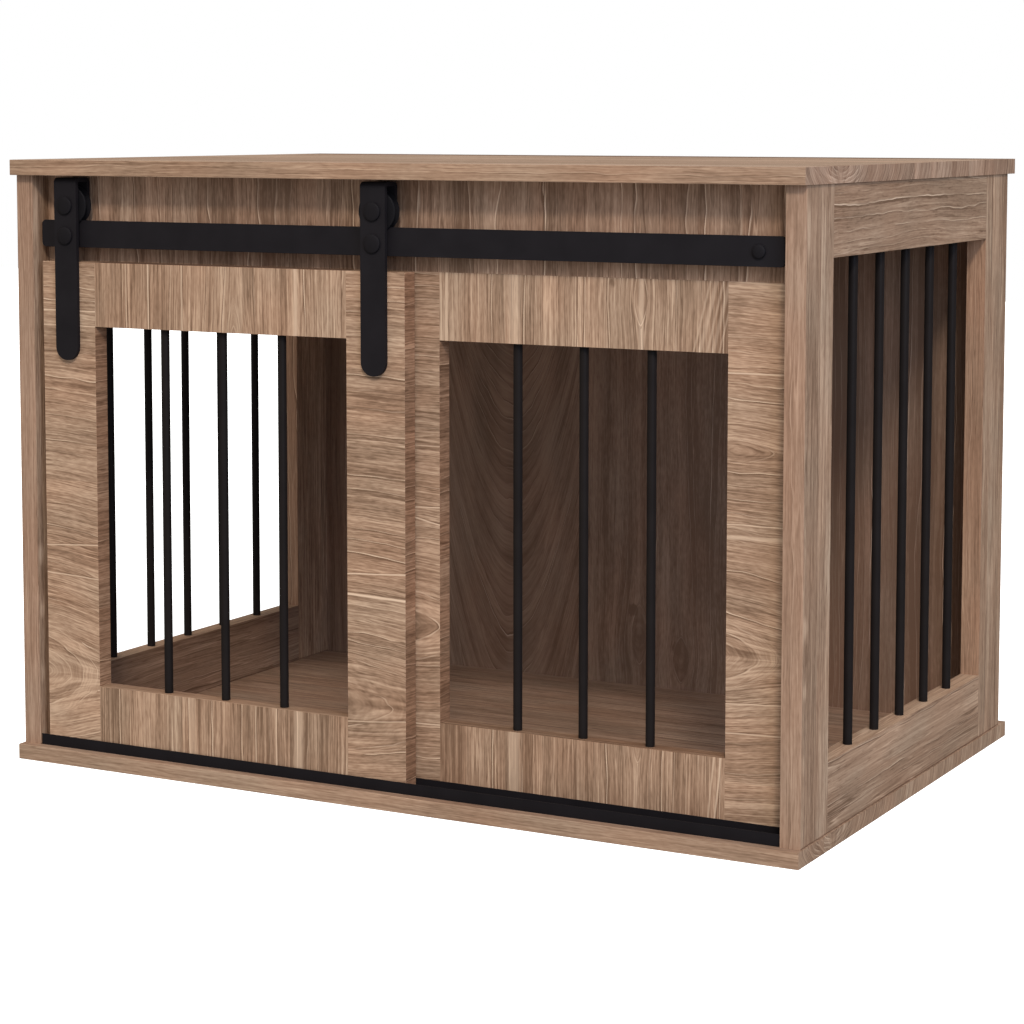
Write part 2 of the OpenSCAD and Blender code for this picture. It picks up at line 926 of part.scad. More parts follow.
module roller_washers() {
    black_steel() for (x = strap_xs) {
        translate([x, door_y, axle_z])
            washer(front_washer_t);
        translate([x, door_y + strap_space - rear_washer_t, axle_z])
            washer(rear_washer_t);
    }
}

// Grooved roller that straddles the rail
module roller(x) {
    half = roller_w / 2;
    groove = groove_w / 2;
    rim = groove + groove_flare;
    bore = bush_d / 2 + bush_fit;
    e = roller_ease;
    black_steel() translate([x, roller_y, axle_z])
        rotate([-90, 0, 0])
            rotate_extrude($fn = 96)
                polygon([
                    [bore, -half], [flange_r - e, -half], [flange_r, -half + e], [flange_r, -rim],
                    [tread_r, -groove], [tread_r, groove],
                    [flange_r, rim], [flange_r, half - e], [flange_r - e, half], [bore, half]
                ]);
}

module roller_bush(x) {
    bronze() translate([x, roller_y - roller_w / 2, axle_z])
        difference() {
            along_y(bush_d, roller_w);
            translate([0, -cut, 0])
                along_y(axle_d + 2 * axle_fit, roller_w + 2 * cut);
        }
}

module left_roller() { roller(strap_xs[0]); }
module left_roller_bush() { roller_bush(strap_xs[0]); }
module right_roller() { roller(strap_xs[1]); }
module right_roller_bush() { roller_bush(strap_xs[1]); }

base_board();
top_board();
left_front_stile();
left_rear_stile();
left_bottom_rail();
left_top_rail();
left_bars();
left_dowels();
right_front_stile();
right_rear_stile();
right_bottom_rail();
right_top_rail();
right_bars();
right_dowels();
back_panel();
back_screws();
base_screws();
top_cams();
top_cam_bolts();
header_board();
header_dowels();
front_cams();
front_cam_bolts();
fixed_left_stile();
fixed_right_stile();
fixed_bottom_rail();
fixed_top_rail();
fixed_bars();
fixed_dowels();
hanging_rail();
rail_spacers();
rail_bolts();
floor_track();
track_screws();
door_left_stile();
door_right_stile();
door_bottom_rail();
door_top_rail();
door_bars();
door_dowels();
left_hanger_strap();
right_hanger_strap();
strap_screws();
strap_bolts();
axle_bolts();
roller_washers();
left_roller();
left_roller_bush();
right_roller();
right_roller_bush();
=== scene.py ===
"""Furniture-style pet crate in walnut laminate, with a barred barn door on a flat black rail."""

import math

import bpy
from mathutils import Matrix, Vector


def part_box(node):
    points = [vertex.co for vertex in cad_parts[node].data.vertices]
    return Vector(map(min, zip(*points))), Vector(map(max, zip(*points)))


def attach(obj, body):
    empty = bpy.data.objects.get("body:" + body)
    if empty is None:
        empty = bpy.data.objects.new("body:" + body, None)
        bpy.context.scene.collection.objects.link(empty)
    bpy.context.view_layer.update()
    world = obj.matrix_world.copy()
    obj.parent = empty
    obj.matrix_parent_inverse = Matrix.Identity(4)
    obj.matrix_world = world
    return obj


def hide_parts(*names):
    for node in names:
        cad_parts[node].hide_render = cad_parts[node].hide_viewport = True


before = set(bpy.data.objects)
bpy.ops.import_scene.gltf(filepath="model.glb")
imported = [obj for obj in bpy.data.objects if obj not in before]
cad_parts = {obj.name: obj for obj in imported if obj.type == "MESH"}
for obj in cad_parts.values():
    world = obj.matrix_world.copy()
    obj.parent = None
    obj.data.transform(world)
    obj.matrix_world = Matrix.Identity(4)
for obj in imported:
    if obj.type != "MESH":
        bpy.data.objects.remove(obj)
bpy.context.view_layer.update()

bl_info = {
    "name": "Barn Door Pet Crate",
    "version": (1, 0, 0),
    "blender": (4, 5, 0),
    "location": "View3D > Sidebar > Pet Crate",
    "description": "Dresses the pet crate's frame in laminate boards and black hardware",
    "category": "Object",
}

MM = 0.001


# Settings

def length_setting(name, description, default):
    """A length for the panel, in metres."""
    return bpy.props.FloatProperty(name=name, description=description, default=default, unit="LENGTH")


def angle_setting(name, description, default):
    """An angle for the panel, in radians."""
    return bpy.props.FloatProperty(name=name, description=description, default=default, unit="ROTATION")


def level_setting(name, description, default):
    """A plain number for the panel."""
    return bpy.props.FloatProperty(name=name, description=description, default=default)


def colour_setting(name, description, default):
    """A colour for the panel."""
    return bpy.props.FloatVectorProperty(name=name, description=description, default=default, subtype="COLOR")


def place_setting(name, description, default):
    """A place for the panel, in metres."""
    return bpy.props.FloatVectorProperty(
        name=name, description=description, default=default, subtype="TRANSLATION", unit="LENGTH")


class CrateSizes(bpy.types.PropertyGroup):
    """Sizes of the details that the frame leaves to the finish."""

    arris: length_setting("Board arris", "Width of the eased edges of the boards", 0.5 * MM)
    header_lap: length_setting(
        "Header lap", "How far the header reaches down behind the top of the door", 2.4 * MM)
    steel_arris: length_setting("Steel arris", "Width of the rounded edges of rail and straps", 0.5 * MM)
    rail_corner: length_setting("Rail corner", "Radius of the rail's four corners", 5.5 * MM)
    rail_bolt: length_setting("Rail bolt diameter", "Shank diameter of the rail's bolts", 6 * MM)
    bolt_head: length_setting("Bolt head", "Height of the domed bolt heads", 4 * MM)
    axle: length_setting("Axle diameter", "Shank diameter of the axle bolts", 8 * MM)
    bush: length_setting("Bush diameter", "Outer diameter of the rollers' bushes", 14 * MM)
    tread: length_setting("Tread radius", "Radius on which the rollers run", 17 * MM)
    groove: length_setting("Groove width", "Width of the rollers' groove at the tread", 6.6 * MM)
    groove_flare: length_setting("Groove flare", "How much the groove opens on each side", 1 * MM)
    roller_arris: length_setting("Roller arris", "Width of the rollers' rounded rims", 0.8 * MM)
    track_wall: length_setting("Track wall", "Sheet thickness of the floor track", 1.2 * MM)


class CrateFinish(bpy.types.PropertyGroup):
    """Colours of the laminate, paint and fittings."""

    wood_dark: colour_setting("Dark grain", "Colour of the darkest grain", (0.165, 0.090, 0.052))
    wood_mid: colour_setting("Wood", "Main colour of the laminate", (0.330, 0.200, 0.126))
    wood_light: colour_setting("Light grain", "Colour of the lightest grain", (0.530, 0.350, 0.235))
    growth_line: colour_setting("Growth line", "Colour of the pale growth lines", (0.660, 0.465, 0.325))
    black: colour_setting("Black paint", "Powder coat of rail, straps and track", (0.0116, 0.0098, 0.0110))
    bar_black: colour_setting("Bar paint", "Powder coat of the round bars", (0.0112, 0.0086, 0.0080))
    nylon: colour_setting("Roller nylon", "Colour of the rollers", (0.0095, 0.0085, 0.0095))
    bronze: colour_setting("Bronze", "Colour of the rollers' bushes", (0.56, 0.36, 0.16))
    zinc: colour_setting("Zinc", "Plating of cams and wood screws", (0.62, 0.63, 0.64))
    beech_dark: colour_setting("Dark beech", "Darker colour of the dowels", (0.44, 0.27, 0.13))
    beech_light: colour_setting("Light beech", "Lighter colour of the dowels", (0.66, 0.45, 0.26))


class CrateStage(bpy.types.PropertyGroup):
    """The camera and the light round the crate."""

    lens: level_setting("Lens", "Focal length of the camera, in millimetres on a 36 mm sensor", 93.16)
    camera_place: place_setting("Camera place", "Where the camera stands", (1.4937, -2.8005, 0.7603))
    camera_round: angle_setting(
        "Camera turn", "How far round to the right of the front the camera looks from", 0.49369)
    camera_down: angle_setting("Camera dip", "How far the camera looks down", 0.08964)
    camera_roll: angle_setting("Camera roll", "How far the camera leans", 0.00058)
    camera_shift: level_setting("Camera shift", "Shift of the lens, in frame widths", -0.150)
    key_way: bpy.props.FloatVectorProperty(
        name="Key way", description="The way to the key light", default=(0.58, -1.0, 0.93), subtype="XYZ")
    key_strength: level_setting("Key light", "Strength of the soft key light", 1.745)
    key_angle: angle_setting("Key size", "How wide the key light looks from the crate", 0.165)
    key_tint: colour_setting("Key tint", "Colour of the key light", (1.04, 1.0, 0.93))
    fill_place: place_setting("Fill place", "Where the fill light stands", (2.1, -1.5, 1.2))
    fill_aim: place_setting("Fill aim", "Where the fill light points", (0.5, 0, 0.4))
    fill_power: level_setting("Fill light", "Power of the broad fill light, in watts", 19.5)
    fill_size: length_setting("Fill size", "Side of the fill light", 1.2)
    fill_tint: colour_setting("Fill tint", "Colour of the fill light", (0.80, 1.0, 1.35))
    sky_top: level_setting("Light from above", "Brightness of the dome overhead", 0.95)
    sky_side: level_setting("Light from the sides", "Brightness of the dome at eye height", 0.23)
    sky_below: level_setting("Light from below", "Brightness of what the floor throws back", 0.40)
    sky_front: level_setting(
        "Front lean", "How much more light comes from the front than from the back", 0.70)
    sky_right: level_setting(
        "Right lean", "How much more light comes from the right than from the left", 0.25)
    sky_warm: colour_setting("Dome left", "Colour of the dome at the far left", (1.06, 1.0, 0.90))
    sky_cool: colour_setting("Dome right", "Colour of the dome at the far right", (0.92, 1.0, 1.08))


def crate_sizes():
    """The sizes in the panel."""
    return bpy.context.scene.crate_sizes


def crate_colours():
    """The colours in the panel."""
    return bpy.context.scene.crate_finish


# Shader graphs

class Wire:
    """An output socket. Arithmetic on it adds Math nodes, with plain numbers on either side."""

    def __init__(self, graph, socket):
        self.graph = graph
        self.socket = socket

    def math(self, operation, *terms):
        return self.graph.add("Math", {"operation": operation}, terms)["Value"]

    def __add__(self, other):
        return self.math("ADD", self, other)

    def __radd__(self, other):
        return self.math("ADD", other, self)

    def __sub__(self, other):
        return self.math("SUBTRACT", self, other)

    def __rsub__(self, other):
        return self.math("SUBTRACT", other, self)

    def __mul__(self, other):
        return self.math("MULTIPLY", self, other)

    def __rmul__(self, other):
        return self.math("MULTIPLY", other, self)

    def __truediv__(self, other):
        return self.math("DIVIDE", self, other)

    def __rtruediv__(self, other):
        return self.math("DIVIDE", other, self)

    def __pow__(self, other):
        return self.math("POWER", self, other)

    def __gt__(self, other):
        return self.math("GREATER_THAN", self, other)

    def __lt__(self, other):
        return self.math("LESS_THAN", self, other)

    def __abs__(self):
        return self.math("ABSOLUTE", self)

    def floor(self):
        return self.math("FLOOR", self)

    def root(self):
        return self.math("SQRT", self)

    def above(self, other):
        """The larger of two values."""
        return self.math("MAXIMUM", self, other)

    def bell(self):
        """1 at zero, falling off smoothly on both sides."""
        return self.math("EXPONENT", self * self * -1.0)

    def clip(self):
        """The value, kept from 0 to 1."""
        return self.graph.add("Clamp", {}, [self, 0.0, 1.0])["Result"]


class Outputs:
    """The outputs of one node, by name or by number."""

    def __init__(self, graph, node):
        self.graph = graph
        self.node = node

    def __getitem__(self, key):
        return Wire(self.graph, self.node.outputs[key])


class Graph:
    """A node tree, and short ways to add nodes to it."""

    def __init__(self, tree):
        self.tree = tree

    def add(self, kind, options=None, sockets=()):
        """Adds a node: its options are set first, then its sockets are given values or links."""
        node = self.tree.nodes.new("ShaderNode" + kind)
        for name, value in (options or {}).items():
            if name == "stops":
                self.fill_ramp(node.color_ramp, value)
            else:
                setattr(node, name, value)
        pairs = sockets.items() if isinstance(sockets, dict) else enumerate(sockets)
        for key, value in pairs:
            self.feed(node.inputs[key], value)
        return Outputs(self, node)

    def feed(self, socket, value):
        """Links a socket, or sets its value."""
        if isinstance(value, Wire):
            self.tree.links.new(value.socket, socket)
        elif socket.type == "RGBA":
            socket.default_value = (*value, 1.0)
        else:
            socket.default_value = value

    def fill_ramp(self, ramp, stops):
        """Gives a ramp its stops, each a place and a colour."""
        while len(ramp.elements) < len(stops):
            ramp.elements.new(0.5)
        for element, (place, colour) in zip(ramp.elements, stops):
            element.position = place
            element.color = (*colour, 1.0)

    def noise(self, x, y, z, detail=2.0):
        """Smooth noise from -1 to 1 on a vector made of three numbers."""
        vector = self.add("CombineXYZ", {}, [x, y, z])["Vector"]
        value = self.add("TexNoise", {}, {"Vector": vector, "Scale": 1.0, "Detail": detail})["Fac"]
        return value * 2.0 - 1.0

    def chance(self, value):
        """A random number from 0 to 1 for each whole number."""
        return self.add("TexWhiteNoise", {"noise_dimensions": "1D"}, {"W": value})["Value"]

    def blend(self, share, first, second):
        """Mixes two colours."""
        return self.add("Mix", {"data_type": "RGBA"}, {0: share, 6: first, 7: second})[2]


class Finish(Graph):
    """The node tree of a new material."""

    def __init__(self, name):
        self.material = bpy.data.materials.new(name)
        self.material.use_nodes = True
        super().__init__(self.material.node_tree)
        self.shader = self.tree.nodes["Principled BSDF"]

    def mottle(self, scale, detail):
        """Noise from 0 to 1 on the object's own coordinates, with so many patches in a metre."""
        place = self.add("TexCoord")["Object"]
        return self.add("TexNoise", {}, {"Vector": place, "Scale": scale, "Detail": detail})["Fac"]

    def finish(self, values, bump=None, depth=0.0):
        """Feeds the shader, and gives the surface a skin as deep as depth."""
        for name, value in values.items():
            self.feed(self.shader.inputs[name], value)
        if bump is not None:
            normal = self.add("Bump", {}, {"Strength": 1.0, "Distance": depth, "Height": bump})
            self.feed(self.shader.inputs["Normal"], normal["Normal"])
        return self.material


# Laminate

class Look:
    """How strongly each part of the grain shows on a board, and how its planks are laid."""

    def __init__(self, **changes):
        self.spacing = 15 * MM
        self.sway = 0.9
        self.wave = 0.25
        self.bands = 0.20
        self.lines = 0.75
        self.line_width = 0.09
        self.dark = 0.55
        self.fibre = 0.68
        self.fibre_length = 75 * MM
        self.streak = 0.48
        self.cloud = 0.30
        self.fleck = 0.38
        self.pores = 0.30
        self.hair = 0.30
        self.planks = 0.12
        self.tone = 0.0
        self.heart = None
        self.heart_half = 90 * MM
        self.heart_depth = 20 * MM
        self.heart_slope = 0.3
        self.loop_wave = 0.06
        self.loop_glow = 0.62
        self.calm = None
        self.calmness = 0.6
        # Tints multiply the colour of whole faces: a few are the film's own colour, most are painted shade,
        # and one is a painted sheen.
        self.tints = {}
        for name, value in changes.items():
            setattr(self, name, value)

    def changed(self, **changes):
        """The same look with some of its values changed."""
        return Look(**{**vars(self), **changes})

    def toned(self, tone):
        """The same look, lighter or darker."""
        return self.changed(tone=self.tone + tone)


# The noises of the grain: length along it, width across it, and what sets each noise apart.
SWAY = (300 * MM, 70 * MM, 0)
WAVE = (45 * MM, 14 * MM, 0)
STREAK = (190 * MM, 5.2 * MM, 3)
CLOUD = (300 * MM, 35 * MM, 5)
FLECK = (10 * MM, 2.1 * MM, 7)
FADE = (50 * MM, 20 * MM, 9)
PORE = (18 * MM, 1.4 * MM, 11)
HUE = (120 * MM, 50 * MM, 13)
THREAD = (150 * MM, 6.5 * MM, 17)
SHOW = (100 * MM, 30 * MM, 19)
PATCH = (30 * MM, 20 * MM, 21)
FIBRE_WIDTH = 1.6 * MM

# Loops: how pointed they are, how wide their lines are and how far they push the grain round them.
LOOP_SHAPE = 1.5
LOOP_LINE = 0.95 * MM
LOOP_PUSH = 0.9

# How fast the grain changes through a board, and how far it jumps from one face to the next.
DEPTH_RATE = 30.0
FACE_DEPTH = 3.7

# How far the grain jumps from one plank to the next, through the board and across its rings.
PLANK_DEPTH = 5.3
PLANK_RINGS = 7.31

# How far a face has to look along an axis to take the film of that way.
FACING = 0.75

# The wood where no grain shows: its place from dark (0) to light (1), its roughness and its gloss, and how
# deep the grain is felt.
PLAIN_TONE = 0.52
PLAIN_ROUGHNESS = 0.56
GLOSS = 0.25
WOOD_SKIN = 0.05 * MM


class Grain(Finish):
    """A new laminate, with coordinates on its board: u along the grain, v across it and w through it.
    The film on each face runs its own way, so a mask for each way that a face can look picks the axes
    (+x: to the right only)."""

    def __init__(self, name, along, seed, look, seams):
        super().__init__(name)
        self.seed = seed
        self.look = look
        place = self.add("TexCoord")["Object"]
        axes = dict(zip("xyz", (self.add("SeparateXYZ", {}, [place])[i] for i in range(3))))
        normal = self.add("NewGeometry")["True Normal"]
        looks = self.add("SeparateXYZ", {}, [normal])
        self.faces = {"x": abs(looks["X"]) > FACING, "z": abs(looks["Z"]) > FACING}
        self.faces["y"] = 1.0 - self.faces["x"] - self.faces["z"]
        self.faces["+x"] = looks["X"] > FACING
        self.u = self.v = self.w = 0.0
        for face, grain in along.items():
            across = next(a for a in "xyz" if a not in (face, grain))
            mask = self.faces[face]
            self.u = mask * axes[grain] + self.u
            self.v = mask * axes[across] + self.v
            self.w = mask * (axes[face] * DEPTH_RATE + "xyz".index(face) * FACE_DEPTH) + self.w
        self.w = self.w + seed
        self.plank = 0.0
        for seam in seams:
            self.plank = (self.v > seam) + self.plank
        self.w = self.plank * PLANK_DEPTH + self.w

    def speckle(self, size, across=None, detail=1.0):
        """Noise from -1 to 1 on the board, drawn out along the grain."""
        length, width, apart = size
        depth = self.w + apart if apart else self.w
        return self.noise(self.u / length, (self.v if across is None else across) / width, depth, detail)

    def bent_across(self, figures):
        """The way across the grain, pushed apart round the loops and bent in arcs round a heart."""
        look = self.look
        bent = self.v
        for face, u0, v0, half_u, half_v, _ in figures:
            off = (self.v - v0) / half_v
            push = off / (off * off + 1.0) * ((self.u - u0) / half_u).bell()
            bent = bent - push * self.faces[face] * (half_v * LOOP_PUSH)
        if look.heart is not None:
            off = self.v - look.heart
            arch = off * off / (2 * look.heart_depth) - self.u * look.heart_slope
            bent = bent + (arch - bent) * (abs(off) < look.heart_half)
        return bent

    def loop_lines(self, wave, rings, figures):
        """Closes the field into loops. Their pale lines keep one width all round, each with a dark line
        inside. They fade here and there."""
        power = 2 * LOOP_SHAPE - 2
        loops = pale = dark = 0.0
        for index, (face, u0, v0, half_u, half_v, count) in enumerate(figures):
            a = abs((self.u - u0) / half_u)
            b = abs((self.v - v0) / half_v)
            far = (a ** LOOP_SHAPE + b ** LOOP_SHAPE) ** (1 / LOOP_SHAPE)
            steep = (a ** power / half_u ** 2 + b ** power / half_v ** 2).root() / far ** (LOOP_SHAPE - 1)
            inside = ((1.10 - far) * 10.0).clip() * self.faces[face]
            field = (far + wave * self.look.loop_wave) * count
            ring = (field + 0.5).floor()
            off = (field - ring) / (steep * (count * LOOP_LINE))
            strength = (self.chance(ring + (self.seed + index)) * 0.45 + 0.55) * inside * (ring > 0.5)
            pale = ((1.0 - abs(off)) * 1.5).clip() * strength + pale
            dark = (1.0 - abs(off + 1.5)).above(0.0) * strength + dark
            rings = rings + (field - rings) * inside
            loops = inside.above(loops)
        patchy = (self.speckle(PATCH) * 1.8 + 0.55).clip()
        return rings, loops, pale * patchy * self.look.loop_glow, dark * patchy

    def single_lines(self, wave, lines):
        """Pale lines at places of their own, and the dark lines beside them."""
        pale = dark = 0.0
        for face, place, slope, strength, width in lines:
            off = (self.v - place - self.u * slope + wave * 1.2 * MM) / width
            pale = ((1.0 - abs(off)) * 1.6).clip() * self.faces[face] * strength + pale
            dark = (1.0 - abs(off - 1.5)).above(0.0) * self.faces[face] * strength + dark
        return pale, dark

    def ring_lines(self, rings, loops):
        """The tone of each growth ring, the pale line where it starts and the shadow where it ends."""
        look, seed = self.look, self.seed
        band = rings.floor()
        phase = rings - band
        tone = self.chance(band + seed) - 0.5
        luck, next_luck = self.chance(band + (seed + 0.37)), self.chance(band + (seed + 1.37))
        straight = 1.0 - loops
        glow = luck * self.chance(band + (seed + 0.71)) * straight
        next_glow = next_luck * self.chance(band + (seed + 1.71)) * straight
        fade = (self.speckle(FADE) * 1.4 + 0.75).clip()
        line = (1.0 - phase / look.line_width).above(0.0) * glow * fade * look.lines * 2.2
        shadow = (1.0 - (1.0 - phase) / (look.line_width * 1.6)).above(0.0) * next_glow * fade
        return tone, line, shadow

    def hairlines(self, across):
        """Thin pale lines along the grain, each with a dark one beside it, where a noise crosses a level."""
        thread = self.speckle(THREAD, across)
        show = (self.speckle(SHOW) * 1.6 + 0.45).clip()
        pale, dark = ((1.0 - abs(level) * 11.0).above(0.0) for level in (thread, thread - 0.16))
        return (pale - dark) * show

    def multiply(self, share, first, second):
        """Multiplies two colours."""
        options = {"data_type": "RGBA", "blend_type": "MULTIPLY"}
        return self.add("Mix", options, {0: share, 6: first, 7: second})[2]

    def colour(self, value, pale):
        """Turns the grain into wood: dark to light, with a wandering hue, pale lines and face tints, most of
        them painted shade and one a painted sheen.
        """
        colours = crate_colours()
        ramp = self.add("ValToRGB", {"stops": [
            (0.0, colours.wood_dark), (0.5, colours.wood_mid), (1.0, colours.wood_light)]}, [value])["Color"]
        hue = self.speckle(HUE) * 1.2 + 0.5
        wood = self.multiply(1.0, ramp, self.blend(hue.clip(), (0.97, 1.01, 1.03), (1.03, 0.99, 0.97)))
        colour = self.blend(pale.clip(), wood, tuple(colours.growth_line))
        # Painted shade and painted sheen on whole faces, with a few tints of the film's own colour.
        for face, shade in self.look.tints.items():
            colour = self.multiply(self.faces[face], colour, shade)
        return colour


def laminate(name, along, seed, look, figures=(), seams=(), lines=(), spots=()):
    """Walnut laminate laid up from planks.

    figures are loops in the grain: (face, u, v, half length, half height, rings).
    seams are the places across the grain where planks meet.
    lines are single pale growth lines: (face, place across, slope, strength, width).
    Each spot is a knot, a patch of painted shade, or a pale patch where the depth is below zero:
    (face, u, v, half length, half height, depth).
    """
    g = Grain(name, along, seed, look, seams)
    sway, wave = g.speckle(SWAY), g.speckle(WAVE)
    ripple = sway * look.sway + wave * look.wave + g.plank * PLANK_RINGS
    bent = g.bent_across(figures)
    rings, loops, loop_pale, loop_dark = g.loop_lines(wave, bent / look.spacing + ripple, figures)
    tone, line, shadow = g.ring_lines(rings, loops)
    pale, dark = g.single_lines(wave, lines)
    pale, dark = loop_pale + pale, loop_dark + dark
    across = bent + ripple * look.spacing * 0.3
    curled = across + (rings * look.spacing - bent) * loops
    fibre = g.speckle((look.fibre_length, FIBRE_WIDTH, 0), across, 2.0)
    streak = g.speckle(STREAK, across, 3.0)
    cloud = g.speckle(CLOUD)
    fleck = g.speckle(FLECK, curled)
    pore = ((g.speckle(PORE, across) - 0.18) * 3.0).clip()
    hair = g.hairlines(across)
    grain = (tone * (loops * 0.2 + look.bands) + fibre * look.fibre + streak * look.streak
             + cloud * look.cloud + fleck * look.fleck + hair * look.hair - pore * look.pores
             - (shadow * 2.0 + dark * 0.6) * look.dark)
    if look.calm:
        grain = grain * (1.0 - g.faces[look.calm] * (1.0 - look.calmness))
    value = grain + (PLAIN_TONE + look.tone)
    if seams:
        value = value + (g.chance(g.plank + (seed + 0.5)) - 0.5) * look.planks * 2.0
    # Knots and painted shade darken the wood here; spots with a depth below zero lighten it.
    for face, u0, v0, half_u, half_v, depth in spots:
        far = (((g.u - u0) / half_u) ** 2.0 + ((g.v - v0) / half_v) ** 2.0).root() + (wave + fleck) * 0.3
        value = value - (1.6 - far * 1.3).clip() * g.faces[face] * depth
    rough = PLAIN_ROUGHNESS - fibre * 0.10 - line * 0.05
    skin = fibre * 0.6 + fleck * 0.4
    colour = g.colour(value, line + pale)
    return g.finish({"Base Color": colour, "Roughness": rough, "Specular IOR Level": GLOSS}, skin, WOOD_SKIN)


def front_loops(*rows):
    """Loops on a front face, from rows of u, v, half length and half height in millimetres, and rings."""
    return [("y", u, v, half_u * MM, half_v * MM, rings) for u, v, half_u, half_v, rings in rows]


def front_lines(*rows):
    """Single lines on a front face, from rows of place across, slope, strength and width in millimetres."""
    return [("y", place, slope, strength, width * MM) for place, slope, strength, width in rows]


ALONG_X = {"x": "z", "y": "x", "z": "x"}
ALONG_Z = {"x": "z", "y": "z", "z": "x"}
ACROSS_Z = {"x": "y", "y": "x", "z": "x"}
ALONG_Y = {"x": "y", "y": "z", "z": "y"}


# Paint, metal and plain wood

# Patches in a metre of each finish, and how deep its skin is.
PAINT_CLOUDS = 35.0
METAL_CLOUDS = 220.0
BEECH_FLECKS = 450.0
PAINT_SKIN = 0.04 * MM
METAL_SKIN = 0.03 * MM
BEECH_SKIN = 0.05 * MM


def scaled(colour, share):
    """A colour made lighter or darker, and never past full."""
    return [min(1.0, c * share) for c in colour]


def black_paint(name, colour, roughness, peel_size=0.9 * MM):
    """Satin powder coat with a fine orange-peel skin."""
    g = Finish(name)
    peel = g.mottle(1.0 / peel_size, 2.0)
    cloud = g.mottle(PAINT_CLOUDS, 3.0)
    shade = g.blend((cloud - 0.3).clip(), tuple(colour), scaled(colour, 1.5))
    rough = cloud * 0.16 + peel * 0.08 + (roughness - 0.12)
    return g.finish({"Base Color": shade, "Roughness": rough, "Specular IOR Level": 0.06}, peel, PAINT_SKIN)


def brushed_metal(name, colour, roughness):
    """Plated or bare metal with soft cloudy wear."""
    g = Finish(name)
    cloud = g.mottle(METAL_CLOUDS, 4.0)
    shade = g.blend(cloud, scaled(colour, 0.72), tuple(colour))
    rough = cloud * 0.2 + roughness
    return g.finish({"Base Color": shade, "Metallic": 1.0, "Roughness": rough}, cloud, METAL_SKIN)


def beech(name):
    """Pale turned beech with short flecks."""
    g = Finish(name)
    fleck = g.mottle(BEECH_FLECKS, 2.0)
    shade = g.blend(fleck, tuple(crate_colours().beech_dark), tuple(crate_colours().beech_light))
    return g.finish({"Base Color": shade, "Roughness": 0.62}, fleck, BEECH_SKIN)


# Modelling helpers

# How far a unit vector reaches along an axis that it follows, and how near two places are that touch.
STRAIGHT = 0.999
TOUCH = 0.02 * MM

# How near the doubled corners of the frame's meshes are, and how little a flat face bends, in degrees.
DOUBLE = 0.002 * MM
FLAT = 0.4


def near(a, b):
    """Whether two coordinates are the same."""
    return abs(a - b) < TOUCH


def only(piece):
    """Selects one object alone and makes it active."""
    bpy.ops.object.select_all(action="DESELECT")
    piece.select_set(True)
    bpy.context.view_layer.objects.active = piece


def pick(piece, kind, test):
    """Selects, by their middle, the faces or edges that pass a test, and goes on in edit mode."""
    mesh = piece.data
    bpy.ops.object.mode_set(mode="OBJECT")
    for group in (mesh.vertices, mesh.edges, mesh.polygons):
        for part in group:
            part.select = False
    if kind == "FACE":
        for face in mesh.polygons:
            face.select = test(face.center, face.normal)
    else:
        for edge in mesh.edges:
            a, b = (mesh.vertices[i].co for i in edge.vertices)
            edge.select = test((a + b) / 2, (b - a).normalized())
    bpy.ops.object.mode_set(mode="EDIT")
    bpy.ops.mesh.select_mode(type=kind)


def leave_edit():
    """Back to object mode."""
    bpy.ops.object.mode_set(mode="OBJECT")


def new_cube(name, low, high):
    """A block between two corners, with its place in its mesh, in edit mode."""
    bpy.ops.object.select_all(action="DESELECT")
    bpy.ops.mesh.primitive_cube_add(size=1.0, location=(low + high) / 2)
    piece = bpy.context.active_object
    piece.name = piece.data.name = name
    piece.scale = high - low
    bpy.ops.object.transform_apply(location=True, rotation=True, scale=True)
    bpy.ops.object.mode_set(mode="EDIT")
    return piece


def new_cylinder(name, centre, radius, depth, axis, sides=48):
    """A cylinder along y or z, with its place in its mesh, in edit mode."""
    turn = {"y": (math.pi / 2, 0, 0), "z": (0, 0, 0)}[axis]
    bpy.ops.object.select_all(action="DESELECT")
    bpy.ops.mesh.primitive_cylinder_add(
        vertices=sides, radius=radius, depth=depth, location=centre, rotation=turn)
    piece = bpy.context.active_object
    piece.name = piece.data.name = name
    bpy.ops.object.transform_apply(location=True, rotation=True, scale=True)
    bpy.ops.object.mode_set(mode="EDIT")
    return piece


def round_edges(piece, width, angle=40):
    """Rounds every edge of a finished solid that is sharper than an angle."""
    only(piece)
    bevel = piece.modifiers.new("arris", "BEVEL")
    bevel.width = width
    bevel.segments = 2
    bevel.limit_method = "ANGLE"
    bevel.angle_limit = math.radians(angle)
    bpy.ops.object.modifier_apply(modifier=bevel.name)


def smooth(piece, angle=35):
    """Shades a piece smooth between its sharp edges, with its large faces kept flat."""
    only(piece)
    bpy.ops.object.shade_smooth_by_angle(angle=math.radians(angle))
    flat = piece.modifiers.new("flat_faces", "WEIGHTED_NORMAL")
    flat.keep_sharp = True
    bpy.ops.object.modifier_apply(modifier=flat.name)


def copy_at(piece, name, offset):
    """A copy with a mesh of its own, moved by offset."""
    twin = piece.copy()
    twin.data = piece.data.copy()
    twin.name = twin.data.name = name
    bpy.context.scene.collection.objects.link(twin)
    twin.data.transform(Matrix.Translation(offset))
    return twin


def join(pieces, name):
    """Joins finished pieces into one object."""
    bpy.ops.object.select_all(action="DESELECT")
    for piece in pieces:
        piece.select_set(True)
    bpy.context.view_layer.objects.active = pieces[0]
    if len(pieces) > 1:
        bpy.ops.object.join()
    pieces[0].name = pieces[0].data.name = name
    return pieces[0]


def repeated(piece, name, boxes):
    """Copies a piece that is modelled in the first of some boxes into the others, and joins them all."""
    first = (boxes[0][0] + boxes[0][1]) / 2
    copies = [copy_at(piece, name, (low + high) / 2 - first) for low, high in boxes[1:]]
    return join([piece] + copies, name)


